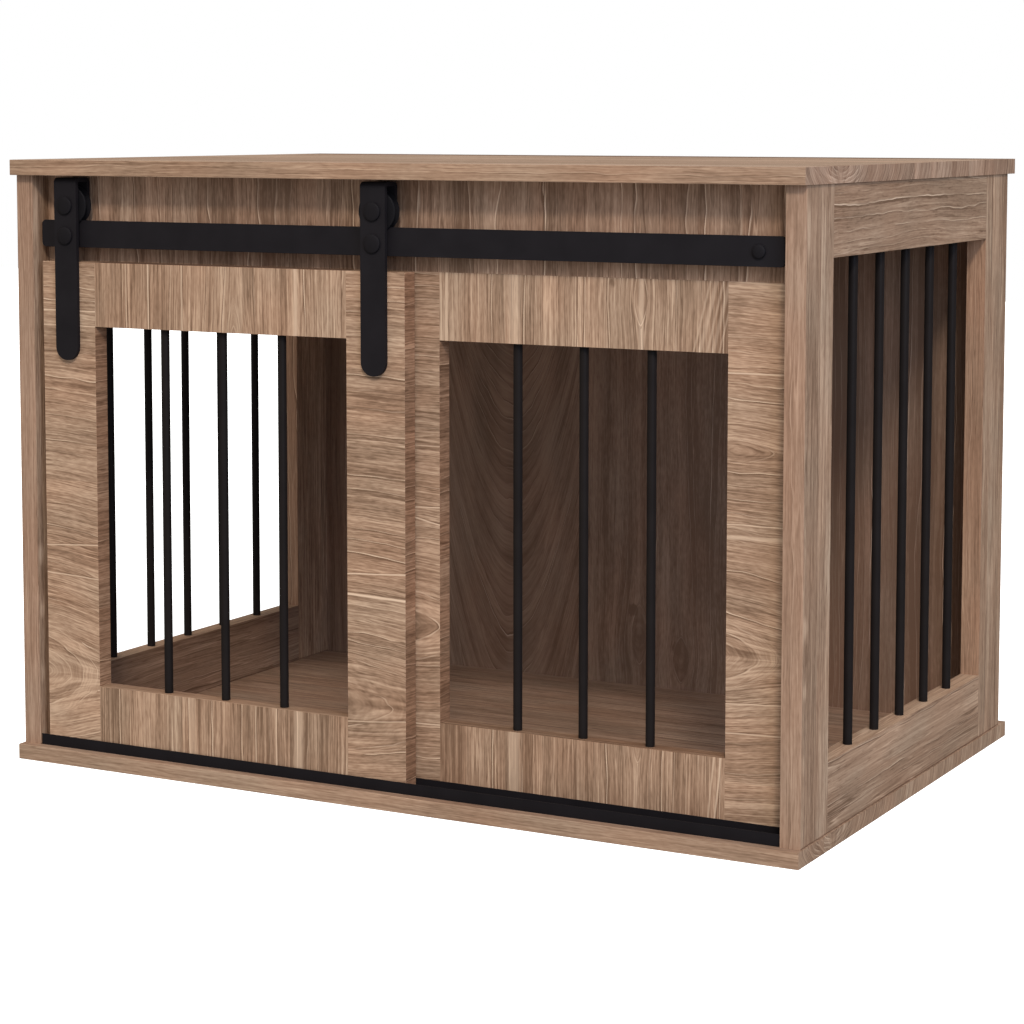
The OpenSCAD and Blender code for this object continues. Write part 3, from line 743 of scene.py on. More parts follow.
def merged_copy(node, name):
    """A copy of a node of the frame: merged, with whole flat faces and fresh normals, in edit mode."""
    piece = bpy.data.objects.new(name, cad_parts[node].data.copy())
    bpy.context.scene.collection.objects.link(piece)
    only(piece)
    bpy.ops.mesh.customdata_custom_splitnormals_clear()
    bpy.ops.object.mode_set(mode="EDIT")
    bpy.ops.mesh.select_all(action="SELECT")
    bpy.ops.mesh.remove_doubles(threshold=DOUBLE)
    bpy.ops.mesh.dissolve_limited(angle_limit=math.radians(FLAT))
    return piece


def dress(piece, material, body, slot, *nodes):
    """Gives a new piece its material and body, and hides the nodes that it stands for. The slot is not used.
    """
    piece.data.materials.clear()
    piece.data.materials.append(material)
    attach(piece, body)
    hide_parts(*nodes)
    return piece


def repaint(node, material):
    """Gives a node of the frame a better material."""
    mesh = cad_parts[node].data
    if mesh.materials:
        for i in range(len(mesh.materials)):
            mesh.materials[i] = material
    else:
        mesh.materials.append(material)


def solids(node):
    """The boxes (lowest, highest corner) of a node's separate solids, from left to right."""
    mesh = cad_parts[node].data
    corners = {}
    parent = {}

    def root(key):
        while parent[key] != key:
            parent[key] = parent[parent[key]]
            key = parent[key]
        return key

    keys = [tuple(round(c, 6) for c in vertex.co) for vertex in mesh.vertices]
    for key in keys:
        parent[key] = key
    for face in mesh.polygons:
        first = root(keys[face.vertices[0]])
        for index in face.vertices[1:]:
            parent[root(keys[index])] = first
    for key in parent:
        low, high = corners.get(root(key), (key, key))
        corners[root(key)] = (Vector(map(min, low, key)), Vector(map(max, high, key)))
    return sorted(corners.values(), key=lambda box: (round(box[0].x, 4), box[0].y, box[0].z))


# Boards

def eased_board(node, name, cuts, keep):
    """A merged copy of a board of the frame, cut where other boards meet it, with its free edges eased.
    keep says of an edge's middle and direction whether it is a free edge."""
    piece = merged_copy(node, name)
    for place, normal in cuts:
        bpy.ops.mesh.select_all(action="SELECT")
        bpy.ops.mesh.bisect(plane_co=place, plane_no=normal)
    pick(piece, "EDGE", keep)
    bpy.ops.mesh.bevel(offset=crate_sizes().arris, segments=2, affect="EDGES", clamp_overlap=True)
    leave_edit()
    smooth(piece, 30)
    return piece


def on_rim(node, axes):
    """A test for edges that lie on the rim of a node's box: along one of the axes given."""
    low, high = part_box(node)

    def test(middle, way):
        for i, axis in enumerate("xyz"):
            if axis in axes and abs(way[i]) > STRAIGHT:
                others = [j for j in range(3) if j != i]
                return all(near(middle[j], low[j]) or near(middle[j], high[j]) for j in others)
        return False
    return test


FRAMES = {
    "left": ("left_front_stile", "left_rear_stile", "left_bottom_rail", "left_top_rail", "y"),
    "right": ("right_front_stile", "right_rear_stile", "right_bottom_rail", "right_top_rail", "y"),
    "fixed": ("fixed_left_stile", "fixed_right_stile", "fixed_bottom_rail", "fixed_top_rail", "x"),
    "door": ("door_left_stile", "door_right_stile", "door_bottom_rail", "door_top_rail", "x"),
}


def frame_edges(key):
    """Cuts and free-edge tests for the four boards of a frame: the joints between them stay sharp."""
    first, second, bottom, top, axis = FRAMES[key]
    low_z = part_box(bottom)[1].z
    high_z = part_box(top)[0].z
    i = "xyz".index(axis)
    inner = (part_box(first)[1][i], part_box(second)[0][i])
    outer = (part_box(first)[0][i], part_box(second)[1][i])
    ends = (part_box(first)[0].z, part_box(first)[1].z)

    def free(middle, way):
        along = middle[i]
        if abs(way.z) > STRAIGHT:
            opening = any(near(along, x) for x in inner) and low_z < middle.z < high_z
            return opening or any(near(along, x) for x in outer)
        if abs(way[i]) > STRAIGHT:
            opening = any(near(middle.z, z) for z in (low_z, high_z)) and inner[0] < along < inner[1]
            return opening or any(near(middle.z, z) for z in ends)
        return False
    cuts = [((0, 0, low_z), (0, 0, 1)), ((0, 0, high_z), (0, 0, 1))]
    return cuts, free


def rim_and(node, free, axes):
    """A test for edges that are on a node's rim and free as well."""
    rim = on_rim(node, axes)
    return lambda middle, way: rim(middle, way) and free(middle, way)


def dress_frame(key, body, slot, *boards):
    """Models and dresses the four boards of a frame, each laid up as its row says."""
    first, second, bottom, top, axis = FRAMES[key]
    cuts, free = frame_edges(key)
    materials = {node: laminate("walnut_" + node, *rest) for node, *rest in boards}
    for node in (first, second, bottom, top):
        own_cuts = cuts if node in (first, second) else []
        piece = eased_board(node, node + "_board", own_cuts, rim_and(node, free, "z" + axis))
        dress(piece, materials[node], body, slot, node)


PANEL_SEAMS = (-0.268, -0.165, -0.100, -0.020, 0.035, 0.105, 0.165, 0.215, 0.280)
HEADER_SEAMS = (-0.400, -0.345, -0.262, -0.195, -0.100, 0.045, 0.100, 0.185, 0.240, 0.300, 0.365, 0.415)
BACK_SEAMS = (-0.292, -0.068, 0.032, 0.180, 0.330)

PANEL_LOOK = Look(
    spacing=11 * MM, bands=0.15, lines=0.45, sway=0.6, fibre=0.55, streak=0.36, fleck=0.25, cloud=0.25,
    planks=0.10, calm="y", calmness=0.8)
HEADER_LOOK = Look(
    spacing=19 * MM, bands=0.30, lines=0.95, sway=0.9, fibre=0.36, streak=0.38, fleck=0.28, cloud=0.40,
    planks=0.15, tone=-0.20, tints={"y": (1.02, 1.0, 1.02)})
# The back panel's low tone is partly its own darker wood and partly painted shade of the crate's inside.
BACK_LOOK = Look(
    spacing=8 * MM, heart=-0.180, heart_half=112 * MM, heart_depth=60 * MM, heart_slope=0.36, sway=1.6,
    lines=0.60, line_width=0.10, bands=0.20, fibre=0.18, fibre_length=0.12, streak=0.20, fleck=0.12,
    pores=0.06, hair=0.13, tone=-0.22, loop_glow=0.22, loop_wave=0.15, tints={"y": (0.96, 0.97, 1.04)})


class BoardsOperator(bpy.types.Operator):
    """Top board, base board, header board and back panel"""

    bl_idname = "crate.boards"
    bl_label = "Boards"

    def execute(self, context):
        rear_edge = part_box("top_board")[1].y
        # Painted shade and painted sheen on the top board: its ends darker, its top face lighter and greyer
        # as if catching the light, and a painted shade along the rear of its top face.
        top_look = PANEL_LOOK.changed(tone=0.06, tints={"x": (0.93, 0.91, 0.94), "z": (1.06, 1.12, 1.20)})
        self.panel("top_board", 11.0, top_look, [("z", 0.0, rear_edge, 0.7, 0.09, 0.7)])
        # Painted shade on the base board: its front face darker, and its top face, the floor inside the
        # crate, darker still, with the bottom face.
        base_look = PANEL_LOOK.changed(tone=-0.03, tints={"y": (0.86, 0.87, 0.88), "z": (0.80, 0.78, 0.80)})
        self.panel("base_board", 23.0, base_look, [])
        self.header()
        self.back()
        return {"FINISHED"}

    def panel(self, node, seed, look, spots):
        """The top or the base board, with arcs in the grain of its ends."""
        arcs = [("x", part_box(node)[1].z, -0.240, 24 * MM, 75 * MM, 6)]
        walnut = laminate("walnut_" + node, ALONG_X, seed, look, arcs, PANEL_SEAMS, [], spots)
        piece = eased_board(node, node + "_panel", [], on_rim(node, "yz"))
        dress(piece, walnut, "crate", "walnut_boards", node)

    def header(self):
        """The header board, with a narrow lap behind the top edge of the door, so no light shows between
        them."""
        walnut = laminate("walnut_header", ALONG_Z, 31.0, HEADER_LOOK, [], HEADER_SEAMS)
        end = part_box("fixed_left_stile")[0].x
        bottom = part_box("header_board")[0].z
        piece = eased_board("header_board", "header_board_panel", [((end, 0, 0), (1, 0, 0))],
                            on_rim("header_board", ""))
        pick(piece, "FACE", lambda middle, normal: (
            near(middle.z, bottom) and normal.z < -STRAIGHT and middle.x < end))
        lap = (0, 0, -crate_sizes().header_lap)
        bpy.ops.mesh.extrude_region_move(TRANSFORM_OT_translate={"value": lap})
        leave_edit()
        dress(piece, walnut, "crate", "walnut_header", "header_board")

    def back(self):
        """The back panel, with two knots and painted shade at its right."""
        loops = [("y", 0.086, 0.010, 40 * MM, 12 * MM, 1), ("y", 0.058, 0.070, 30 * MM, 12 * MM, 1)]
        # The last spot is painted shade over the right part of the back panel.
        spots = [("y", 0.118, 0.001, 8 * MM, 6.5 * MM, 1.0), ("y", 0.072, 0.064, 8 * MM, 6 * MM, 0.6),
                 ("y", 0.350, 0.330, 0.75, 0.34, 0.30)]
        walnut = laminate("walnut_back", ALONG_Z, 47.0, BACK_LOOK, loops, BACK_SEAMS, [], spots)
        piece = eased_board("back_panel", "back_panel_sheet", [], on_rim("back_panel", ""))
        dress(piece, walnut, "crate", "walnut_back", "back_panel")


STILE_LOOK = Look(
    spacing=14 * MM, sway=0.9, bands=0.22, lines=0.45, fleck=0.25, planks=0.10, calm="y", tone=0.03)
SIDE_TOP_LOOK = Look(
    spacing=12 * MM, sway=1.2, bands=0.34, lines=1.0, line_width=0.14, fibre=0.38, streak=0.34, fleck=0.20,
    hair=0.20, tone=-0.04)
SIDE_LOW_LOOK = Look(
    spacing=12 * MM, sway=0.6, bands=0.24, lines=0.60, fibre=0.48, streak=0.24, fleck=0.10, hair=0.44,
    fibre_length=0.14, tone=-0.07)


class SideFramesOperator(bpy.types.Operator):
    """Stiles and rails of the left and right side frames"""

    bl_idname = "crate.side_frames"
    bl_label = "Side frames"

    def execute(self, context):
        # Painted shade: the front faces of both front stiles are darkened, and the faces of the left frame's
        # rails that look into the crate darker still.
        self.side("left", 0, {"y": (0.87, 0.85, 0.88)}, {"+x": (0.70, 0.68, 0.70)})
        self.side("right", 17, {"y": (0.83, 0.80, 0.81)}, {})
        return {"FINISHED"}

    def side(self, key, seed, front_tints, rail_tints):
        """One side frame. Its boards have seams at the foot, and its front stile has pale patches."""
        first, second, bottom, top, _ = FRAMES[key]
        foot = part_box("base_board")[1].z
        stile_seam = ("x", foot, 0.0, 1.6 * MM, 1.0, 0.55)
        rail_seam = ("x", 0.0, foot, 1.0, 1.6 * MM, 0.55)
        # Painted shade under the top board, at the top of the right front stile's front face.
        head = ("y", 0.690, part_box("right_front_stile")[1].x, 70 * MM, 60 * MM, 0.14)
        front_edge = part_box(first)[0].y
        patches = [("x", z, front_edge + y * MM, long * MM, wide * MM, depth) for z, y, long, wide, depth in (
            (0.652, 6, 30, 5, -0.45), (0.247, 6, 12, 7, -0.40), (0.180, 7, 10, 5, -0.40),
            (0.214, 8, 18, 9, 0.22), (0.105, 5, 12, 4, -0.30))]
        arch = ("x", 0.030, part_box(top)[0].z - 26 * MM, 150 * MM, 22 * MM, 1)
        front_look = STILE_LOOK.toned(0.05).changed(tints=front_tints)
        rear_look = STILE_LOOK.toned(-0.07).changed(tints={"y": (1.02, 0.94, 0.90)})
        low_look = SIDE_LOW_LOOK.changed(tints=rail_tints)
        top_look = SIDE_TOP_LOOK.changed(tints=rail_tints)
        dress_frame(
            key, "crate", "walnut_side_frames",
            (first, ALONG_Z, 3.0 + seed, front_look, [], [-0.289], [], [*patches, stile_seam, head]),
            (second, ALONG_Z, 5.3 + seed, rear_look, [], [0.262, 0.296], [], [stile_seam]),
            (bottom, ALONG_Y, 7.1 + seed, low_look, [], [0.058], [], [rail_seam]),
            (top, ALONG_Y, 9.6 + seed, top_look, [arch]))


# Painted shade: the side faces and the top and bottom faces of the front frames are darkened as if in shade.
FRONT_PAINTED_SHADE = {"x": (0.78, 0.67, 0.60), "z": (0.80, 0.74, 0.70)}
FRONT_STILE = Look(spacing=16 * MM, sway=0.6, hair=0.24, tints=FRONT_PAINTED_SHADE)
FRONT_RAIL = Look(
    spacing=14 * MM, bands=0.20, lines=0.80, fibre=0.74, streak=0.52, fleck=0.22, sway=0.5, wave=0.15,
    loop_glow=0.45, fibre_length=110 * MM, tints=FRONT_PAINTED_SHADE)
# Painted shade: the top faces of the top rails are darkened further, so the light from above doesn't show on
# them.
TOP_RAIL = FRONT_RAIL.changed(tints={"z": (0.45, 0.38, 0.36)})

FIXED_STILE_SEAMS = (0.072, 0.408)
FIXED_RAIL_SEAMS = (0.139, 0.184, 0.226, 0.287, 0.340)
DOOR_STILE_SEAMS = (0.188, 0.338, 0.488)
DOOR_RAIL_SEAMS = (-0.347, -0.272, -0.184, -0.124)


class FixedFrameOperator(bpy.types.Operator):
    """Stiles and rails of the fixed front frame, with a fan of pale lines on the top rail"""

    bl_idname = "crate.fixed_frame"
    bl_label = "Fixed frame"

    def execute(self, context):
        foot, lean = 0.525, 0.25
        fan = [(x - lean * foot, lean, 0.24, width)
               for x, width in ((0.362, 1.6), (0.369, 3.2), (0.377, 1.8), (0.384, 3.0), (0.391, 1.4))]
        dress_frame(
            "fixed", "crate", "walnut_fixed_frame",
            ("fixed_left_stile", ACROSS_Z, 61.0, FRONT_STILE.toned(-0.07),
             front_loops((0.010, 0.203, 94, 40, 2)), [],
             front_lines((0.333, 0.06, 0.8, 1.0), (0.3275, -0.18, 0.8, 1.0), (0.091, 0.05, 0.7, 1.0),
                         (0.404, 0.0, 0.5, 0.8))),
            ("fixed_right_stile", ACROSS_Z, 67.0, FRONT_STILE.toned(0.06),
             front_loops((0.375, 0.205, 84, 40, 4), (0.410, 0.420, 42, 12, 1)), FIXED_STILE_SEAMS,
             front_lines((0.501, 0.0, 0.8, 1.0), (0.343, 0.0, 0.7, 0.9), (0.130, 0.06, 0.6, 1.0),
                         (0.107, 0.04, 0.6, 1.0), (0.326, 0.01, 0.5, 3.0))),
            ("fixed_bottom_rail", ALONG_Z, 71.0, FRONT_RAIL.toned(-0.19),
             front_loops((0.100, 0.299, 20, 6, 1)), (0.090, *FIXED_RAIL_SEAMS),
             front_lines((0.386, 0.10, 0.6, 1.4), (0.378, 0.10, 0.4, 1.2), (0.150, 0.0, 0.40, 9.0))),
            ("fixed_top_rail", ALONG_Z, 73.0, TOP_RAIL.toned(-0.02),
             front_loops((0.575, 0.300, 30, 8, 1)), (0.104, *FIXED_RAIL_SEAMS),
             front_lines(*fan, (0.150, 0.0, 0.35, 10.0), (0.301, 0.0, 0.45, 4.0), (0.066, 0.0, 0.5, 2.5)),
             [("y", 0.590, 0.267, 5 * MM, 4 * MM, 0.4)]))
        return {"FINISHED"}


class DoorOperator(bpy.types.Operator):
    """Stiles and rails of the sliding door"""

    bl_idname = "crate.door"
    bl_label = "Door"

    def execute(self, context):
        dress_frame(
            "door", "door", "walnut_door",
            ("door_left_stile", ACROSS_Z, 81.0, FRONT_STILE.toned(0.07),
             front_loops((-0.472, 0.108, 80, 56, 4)), DOOR_STILE_SEAMS,
             front_lines((0.2875, 0.06, 0.7, 1.0), (0.208, -0.04, 0.7, 1.0), (0.538, 0.0, 0.8, 1.2),
                         (0.521, 0.0, 0.6, 1.0))),
            ("door_right_stile", ACROSS_Z, 87.0, FRONT_STILE.toned(-0.05),
             front_loops((-0.060, 0.112, 140, 54, 2)), DOOR_STILE_SEAMS,
             front_lines((0.2615, 0.06, 0.9, 1.0), (0.2345, -0.03, 1.0, 1.8), (0.0960, 0.09, 0.5, 1.0))),
            ("door_bottom_rail", ALONG_Z, 91.0, FRONT_RAIL.toned(-0.14), [], DOOR_RAIL_SEAMS,
             front_lines((-0.112, 0.0, 0.45, 8.0), (-0.258, 0.0, 0.30, 6.0), (-0.142, 0.0, 0.6, 1.2),
                         (-0.170, 0.0, 0.6, 1.0))),
            ("door_top_rail", ALONG_Z, 97.0, TOP_RAIL.toned(0.01),
             front_loops((0.500, -0.196, 56, 11, 2)), DOOR_RAIL_SEAMS,
             front_lines((-0.113, 0.0, 0.50, 4.0), (-0.314, 0.0, 0.7, 1.4), (-0.267, 0.0, 0.6, 1.4),
                         (-0.345, 0.0, 0.5, 1.2))))
        return {"FINISHED"}


# Steel

BAR_CHAMFER = 0.12


class BarsOperator(bpy.types.Operator):
    """Round steel bars of the four frames"""

    bl_idname = "crate.bars"
    bl_label = "Bars"

    def execute(self, context):
        paint = black_paint("black_bar_paint", crate_colours().bar_black, 0.42)
        for side in ("left", "right", "fixed"):
            self.row(side + "_bars", "crate", paint)
        self.row("door_bars", "door", paint)
        return {"FINISHED"}

    def row(self, node, body, paint):
        """The round bars of one frame."""
        boxes = solids(node)
        low, high = boxes[0]
        radius = (high.x - low.x) / 2
        bar = new_cylinder(node + "_steel", (low + high) / 2, radius, high.z - low.z, "z", 40)
        pick(bar, "EDGE", lambda middle, way: near(middle.z, low.z) or near(middle.z, high.z))
        bpy.ops.mesh.bevel(offset=radius * BAR_CHAMFER, segments=2, affect="EDGES")
        leave_edit()
        piece = repeated(bar, node + "_steel", boxes)
        smooth(piece, 50)
        dress(piece, paint, body, "black_bars", node)


def ring_of(name, box, hole):
    """A tube along y that fills a box, with a bore."""
    low, high = box
    radius = (high.x - low.x) / 2
    piece = new_cylinder(name, (low + high) / 2, radius, high.y - low.y, "y")
    pick(piece, "FACE", lambda middle, normal: abs(normal.y) > STRAIGHT)
    bpy.ops.mesh.inset(thickness=radius - hole / 2)
    bpy.ops.mesh.bridge_edge_loops()
    leave_edit()
    return piece


def ring_set(node, name, hole, arris, paint, body):
    """A set of plain rings, such as washers."""
    rings = join([ring_of(name, box, hole) for box in solids(node)], name)
    round_edges(rings, arris)
    smooth(rings)
    dress(rings, paint, body, "black_hardware", node)


# The domed heads: the share of the height that stands straight, the steps of the dome, and how much of
# the last step is drawn in, so that a small flat stays at the middle.
HEAD_RIM = 0.55
DOME_STEPS = 6
LAST_STEP = 0.96

# Painted shade: how much darker the bolts' paint is than the black, so their lit domes look no brighter than
# the steel.
BOLT_PAINTED_SHADE = 0.78
BOLT_ARRIS = 0.25 * MM


def domed_bolt(name, box, shank):
    """A bolt along y: a domed head that faces the front, on a plain shank."""
    low, high = box
    head = crate_sizes().bolt_head
    radius = (high.x - low.x) / 2
    dome = head - HEAD_RIM * head
    centre = Vector(((low.x + high.x) / 2, low.y + head / 2, (low.z + high.z) / 2))
    piece = new_cylinder(name, centre, radius, head, "y")
    pick(piece, "FACE", lambda middle, normal: normal.y < -STRAIGHT)
    bpy.ops.transform.translate(value=(0, dome, 0))
    for step in range(1, DOME_STEPS + 1):
        before, after = (math.radians(90 * i / DOME_STEPS) for i in (step - 1, step))
        share = LAST_STEP if step == DOME_STEPS else 1.0
        bpy.ops.mesh.inset(thickness=radius * (math.cos(before) - math.cos(after)) * share)
        bpy.ops.transform.translate(value=(0, -dome * (math.sin(after) - math.sin(before)), 0))
    pick(piece, "FACE", lambda middle, normal: normal.y > STRAIGHT)
    bpy.ops.mesh.inset(thickness=radius - shank / 2)
    bpy.ops.mesh.extrude_region_move(TRANSFORM_OT_translate={"value": (0, high.y - low.y - head, 0)})
    leave_edit()
    return piece


def bolts(node, name, body, shank):
    """A set of bolts, in a darker copy of the black paint: painted shade that keeps their lit domes from
    looking brighter than the steel round them.
    """
    coat = black_paint("black_" + name, scaled(crate_colours().black, BOLT_PAINTED_SHADE), 0.55)
    boxes = solids(node)
    piece = repeated(domed_bolt(name, boxes[0], shank), name, boxes)
    round_edges(piece, BOLT_ARRIS, 50)
    smooth(piece, 40)
    dress(piece, coat, body, "black_hardware", node)


SPACER_BORE = 6.2 * MM
SPACER_ARRIS = 0.4 * MM


class RailOperator(bpy.types.Operator):
    """Flat hanging rail with its bolts and spacers"""

    bl_idname = "crate.rail"
    bl_label = "Hanging rail"

    def execute(self, context):
        sizes = crate_sizes()
        paint = black_paint("black_rail_paint", crate_colours().black, 0.50)
        rail = new_cube("hanging_rail_bar", *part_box("hanging_rail"))
        pick(rail, "EDGE", lambda middle, way: abs(way.y) > STRAIGHT)
        bpy.ops.mesh.bevel(offset=sizes.rail_corner, segments=8, affect="EDGES")
        leave_edit()
        round_edges(rail, sizes.steel_arris, 60)
        smooth(rail, 40)
        dress(rail, paint, "crate", "black_hardware", "hanging_rail")
        bolts("rail_bolts", "rail_bolt_set", "crate", sizes.rail_bolt)
        ring_set("rail_spacers", "rail_spacer_set", SPACER_BORE, SPACER_ARRIS, paint, "crate")
        return {"FINISHED"}


class StrapsOperator(bpy.types.Operator):
    """Hanger straps with their bolts"""

    bl_idname = "crate.straps"
    bl_label = "Hanger straps"

    def execute(self, context):
        sizes = crate_sizes()
        paint = black_paint("black_strap_paint", crate_colours().black, 0.50)
        for node in ("left_hanger_strap", "right_hanger_strap"):
            piece = merged_copy(node, node + "_steel")
            leave_edit()
            round_edges(piece, sizes.steel_arris, 50)
            smooth(piece, 30)
            dress(piece, paint, "door", "black_hardware", node)
        bolts("strap_bolts", "strap_bolt_set", "door", sizes.axle)
        bolts("axle_bolts", "axle_bolt_set", "door", sizes.axle)
        return {"FINISHED"}


# The gap between a bush and its roller, the play of bushes and washers on the axle, and the arris of both.
BUSH_GAP = 0.02 * MM
BUSH_PLAY = 0.08 * MM
WASHER_PLAY = 0.2 * MM
RING_ARRIS = 0.2 * MM


class RollersOperator(bpy.types.Operator):
    """Grooved rollers with their bushes and washers"""

    bl_idname = "crate.rollers"
    bl_label = "Rollers"

    def execute(self, context):
        axle = crate_sizes().axle
        colours = crate_colours()
        nylon = black_paint("black_roller_nylon", colours.nylon, 0.45, 1.5 * MM)
        bronze = brushed_metal("sintered_bronze", colours.bronze, 0.28)
        paint = black_paint("black_washer_paint", colours.black, 0.45)
        for node in ("left_roller", "right_roller"):
            roller = self.wheel(node + "_wheel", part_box(node))
            dress(roller, nylon, node, "black_rollers", node)
            bush = ring_of(node + "_bush_sleeve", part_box(node + "_bush"), axle + BUSH_PLAY)
            round_edges(bush, RING_ARRIS)
            smooth(bush)
            dress(bush, bronze, node, "bronze_bush", node + "_bush")
        ring_set("roller_washers", "roller_washer_set", axle + WASHER_PLAY, RING_ARRIS, paint, "door")
        return {"FINISHED"}

    def wheel(self, name, box):
        """A roller along y: a disc whose rim is cut into bands, the middle bands drawn in to a groove."""
        sizes = crate_sizes()
        low, high = box
        centre = (low + high) / 2
        radius = (high.x - low.x) / 2
        width = high.y - low.y
        half = sizes.groove / 2
        flare = half + sizes.groove_flare
        piece = new_cylinder(name, centre, radius, width, "y", 96)
        for y in (-flare, -half, half, flare):
            bpy.ops.mesh.select_all(action="SELECT")
            bpy.ops.mesh.bisect(plane_co=(0, centre.y + y, 0), plane_no=(0, 1, 0))
        pick(piece, "EDGE", lambda middle, way: near(abs(middle.y - centre.y), half))
        shrink = sizes.tread / radius
        bpy.ops.transform.resize(value=(shrink, 1, shrink), center_override=centre)
        pick(piece, "EDGE", lambda middle, way: near(abs(middle.y - centre.y), width / 2))
        bpy.ops.mesh.bevel(offset=sizes.roller_arris, segments=3, affect="EDGES")
        pick(piece, "FACE", lambda middle, normal: abs(normal.y) > STRAIGHT)
        bpy.ops.mesh.inset(thickness=radius - sizes.roller_arris - sizes.bush / 2 - BUSH_GAP)
        bpy.ops.mesh.bridge_edge_loops()
        leave_edit()
        smooth(piece, 30)
        return piece


TRACK_SHADE = 0.8
TRACK_ARRIS = 0.25 * MM


class TrackOperator(bpy.types.Operator):
    """Floor track: a folded channel with two lips, and the screws that share its paint"""

    bl_idname = "crate.track"
    bl_label = "Floor track"

    def execute(self, context):
        wall = crate_sizes().track_wall
        low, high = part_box("floor_track")
        front, rear = low.y + wall, high.y - wall
        paint = black_paint("black_track_paint", scaled(crate_colours().black, TRACK_SHADE), 0.45)
        track = new_cube("floor_track_channel", low, Vector((high.x, high.y, low.z + wall)))
        for y in (front, rear):
            bpy.ops.mesh.select_all(action="SELECT")
            bpy.ops.mesh.bisect(plane_co=(0, y, 0), plane_no=(0, 1, 0))
        pick(track, "FACE", lambda middle, normal: normal.z > STRAIGHT and not front < middle.y < rear)
        bpy.ops.mesh.extrude_region_move(TRANSFORM_OT_translate={"value": (0, 0, high.z - low.z - wall)})
        leave_edit()
        round_edges(track, TRACK_ARRIS, 60)
        smooth(track)
        dress(track, paint, "crate", "black_hardware", "floor_track")
        repaint("track_screws", paint)
        repaint("strap_screws", paint)
        return {"FINISHED"}


class FixingsOperator(bpy.types.Operator):
    """Dowels, cam locks and wood screws"""

    bl_idname = "crate.fixings"
    bl_label = "Fixings"

    def execute(self, context):
        zinc = brushed_metal("zinc_plate", crate_colours().zinc, 0.30)
        wood = beech("turned_beech")
        for node in ("left_dowels", "right_dowels", "fixed_dowels", "door_dowels", "header_dowels"):
            repaint(node, wood)
        for node in ("top_cams", "top_cam_bolts", "front_cams", "front_cam_bolts", "base_screws",
                     "back_screws"):
            repaint(node, zinc)
        return {"FINISHED"}


# Stage

FLOOR_SIZE = 16.0
FLOOR_GREY = 0.9
FLOOR_GLOW = 0.85


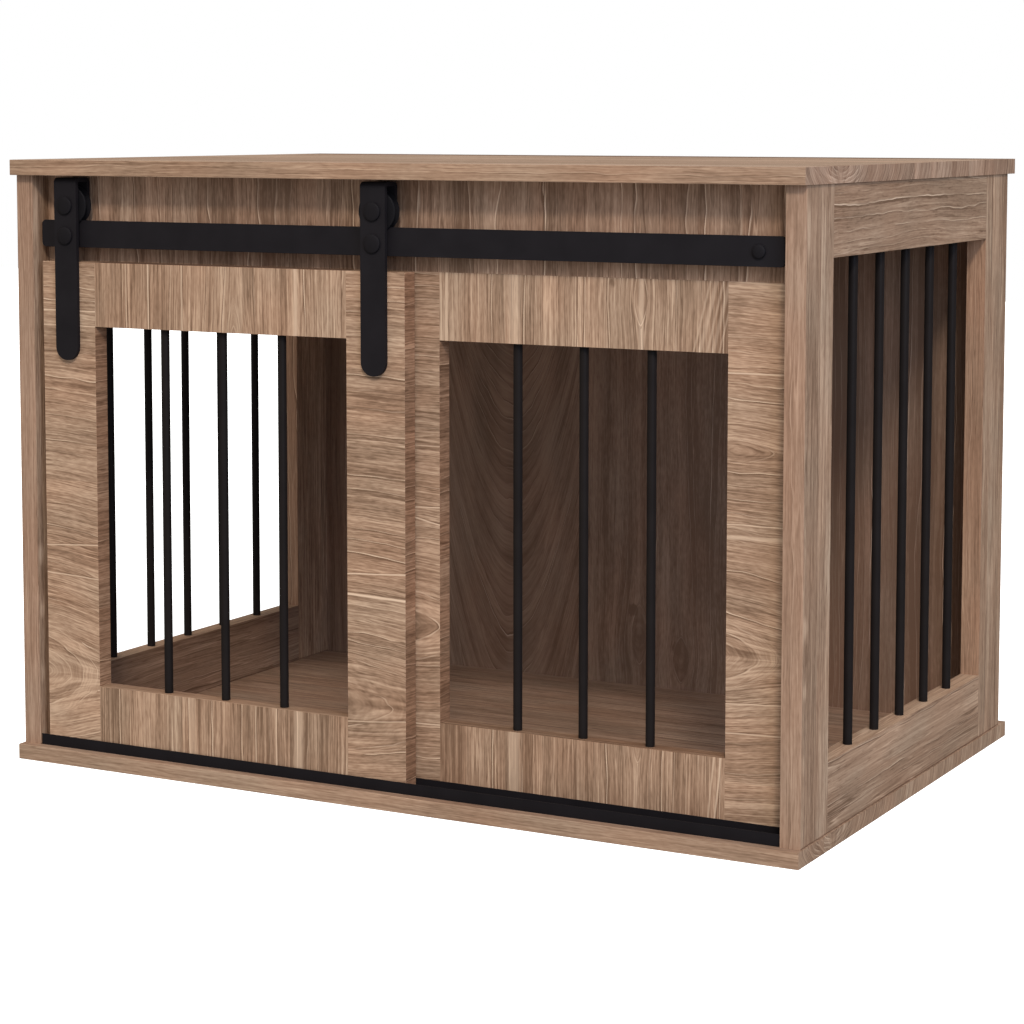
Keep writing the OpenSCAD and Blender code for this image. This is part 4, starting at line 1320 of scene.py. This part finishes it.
class StageOperator(bpy.types.Operator):
    """Floor, camera and soft studio light"""

    bl_idname = "crate.stage"
    bl_label = "Stage"

    def execute(self, context):
        stage = context.scene.crate_stage
        self.floor()
        self.camera(context.scene, stage)
        self.sky(context.scene, stage)
        key = self.light("key_light", "SUN", stage.key_tint, stage.key_strength, stage.key_way)
        key.angle = stage.key_angle
        way = Vector(stage.fill_place) - Vector(stage.fill_aim)
        fill = self.light("fill_light", "AREA", stage.fill_tint, stage.fill_power, way, stage.fill_place)
        fill.size = stage.fill_size
        context.scene.view_settings.view_transform = "Standard"
        return {"FINISHED"}

    def floor(self):
        bpy.ops.object.select_all(action="DESELECT")
        bpy.ops.mesh.primitive_plane_add(size=FLOOR_SIZE, location=(0, 0, 0))
        plane = bpy.context.active_object
        plane.name = "floor"
        g = Finish("pale_floor")
        plane.data.materials.append(g.finish({
            "Base Color": [FLOOR_GREY] * 3, "Roughness": 0.9, "Specular IOR Level": 0.0,
            "Emission Color": (1.0, 1.0, 1.0), "Emission Strength": FLOOR_GLOW}))
        plane.visible_diffuse = False
        plane.visible_glossy = False

    def camera(self, scene, stage):
        turn, dip, roll = stage.camera_round, stage.camera_down, stage.camera_roll
        forward = Vector((-math.sin(turn) * math.cos(dip), math.cos(turn) * math.cos(dip), -math.sin(dip)))
        right = Vector((math.cos(turn), math.sin(turn), 0))
        above = right.cross(forward)
        side = right * math.cos(roll) + above * math.sin(roll)
        up = above * math.cos(roll) - right * math.sin(roll)
        data = bpy.data.cameras.new("camera")
        data.sensor_width = 36.0
        data.lens = stage.lens
        data.shift_y = stage.camera_shift
        data.clip_end = 50.0
        camera = bpy.data.objects.new("camera", data)
        scene.collection.objects.link(camera)
        camera.rotation_euler = Matrix((side, up, -forward)).transposed().to_euler()
        camera.location = stage.camera_place
        scene.camera = camera

    def sky(self, scene, stage):
        """White all round for the eye, and for the light a dome: brighter overhead, to the front and to the
        right, warm to the left and cool to the right."""
        world = bpy.data.worlds.new("studio")
        world.use_nodes = True
        world.node_tree.nodes.clear()
        scene.world = world
        g = Graph(world.node_tree)
        way = g.add("SeparateXYZ", {}, [g.add("TexCoord")["Generated"]])
        x, y, z = (way[i] for i in range(3))
        levels = [(0.32, [stage.sky_below] * 3), (0.43, [stage.sky_side] * 3),
                  (0.60, [stage.sky_side] * 3), (0.85, [stage.sky_top] * 3)]
        height = g.add("ValToRGB", {"stops": levels}, [z * 0.5 + 0.5])["Color"]
        strength = height * (1.0 + x * stage.sky_right - y * stage.sky_front)
        tint = g.blend(x * 0.5 + 0.5, tuple(stage.sky_warm), tuple(stage.sky_cool))
        light = g.add("Background", {}, {"Color": tint, "Strength": strength})["Background"]
        seen = g.add("Background", {}, {"Color": (1.0, 1.0, 1.0)})["Background"]
        eye = g.add("LightPath")["Is Camera Ray"]
        g.add("OutputWorld", {}, {"Surface": g.add("MixShader", {}, [eye, light, seen])["Shader"]})

    def light(self, name, kind, colour, strength, way, place=(0, 0, 0)):
        """A light at a place. Its way leads from what it lights back to the light."""
        data = bpy.data.lights.new(name, kind)
        data.color = colour
        data.energy = strength
        light = bpy.data.objects.new(name, data)
        bpy.context.scene.collection.objects.link(light)
        light.location = place
        light.rotation_euler = Vector(way).to_track_quat("Z", "Y").to_euler()
        return data


STEPS = (BoardsOperator, SideFramesOperator, FixedFrameOperator, DoorOperator, BarsOperator, RailOperator,
         StrapsOperator, RollersOperator, TrackOperator, FixingsOperator, StageOperator)


class CratePanel(bpy.types.Panel):
    """Lists the sizes, colours and steps of the crate"""

    bl_idname = "VIEW3D_PT_pet_crate"
    bl_label = "Pet Crate"
    bl_space_type = "VIEW_3D"
    bl_region_type = "UI"
    bl_category = "Pet Crate"

    def draw(self, context):
        for group in (context.scene.crate_sizes, context.scene.crate_finish, context.scene.crate_stage):
            box = self.layout.box()
            for name in group.bl_rna.properties.keys():
                if name not in ("rna_type", "name"):
                    box.prop(group, name)
        for step in STEPS:
            self.layout.operator(step.bl_idname)


GROUPS = {"crate_sizes": CrateSizes, "crate_finish": CrateFinish, "crate_stage": CrateStage}


def register():
    for name, group in GROUPS.items():
        bpy.utils.register_class(group)
        setattr(bpy.types.Scene, name, bpy.props.PointerProperty(type=group))
    for step in STEPS:
        bpy.utils.register_class(step)
    bpy.utils.register_class(CratePanel)


def unregister():
    bpy.utils.unregister_class(CratePanel)
    for step in reversed(STEPS):
        bpy.utils.unregister_class(step)
    for name, group in reversed(list(GROUPS.items())):
        delattr(bpy.types.Scene, name)
        bpy.utils.unregister_class(group)


def main():
    register()
    for step in STEPS:
        group, name = step.bl_idname.split(".")
        getattr(getattr(bpy.ops, group), name)()


if __name__ == "__main__":
    main()
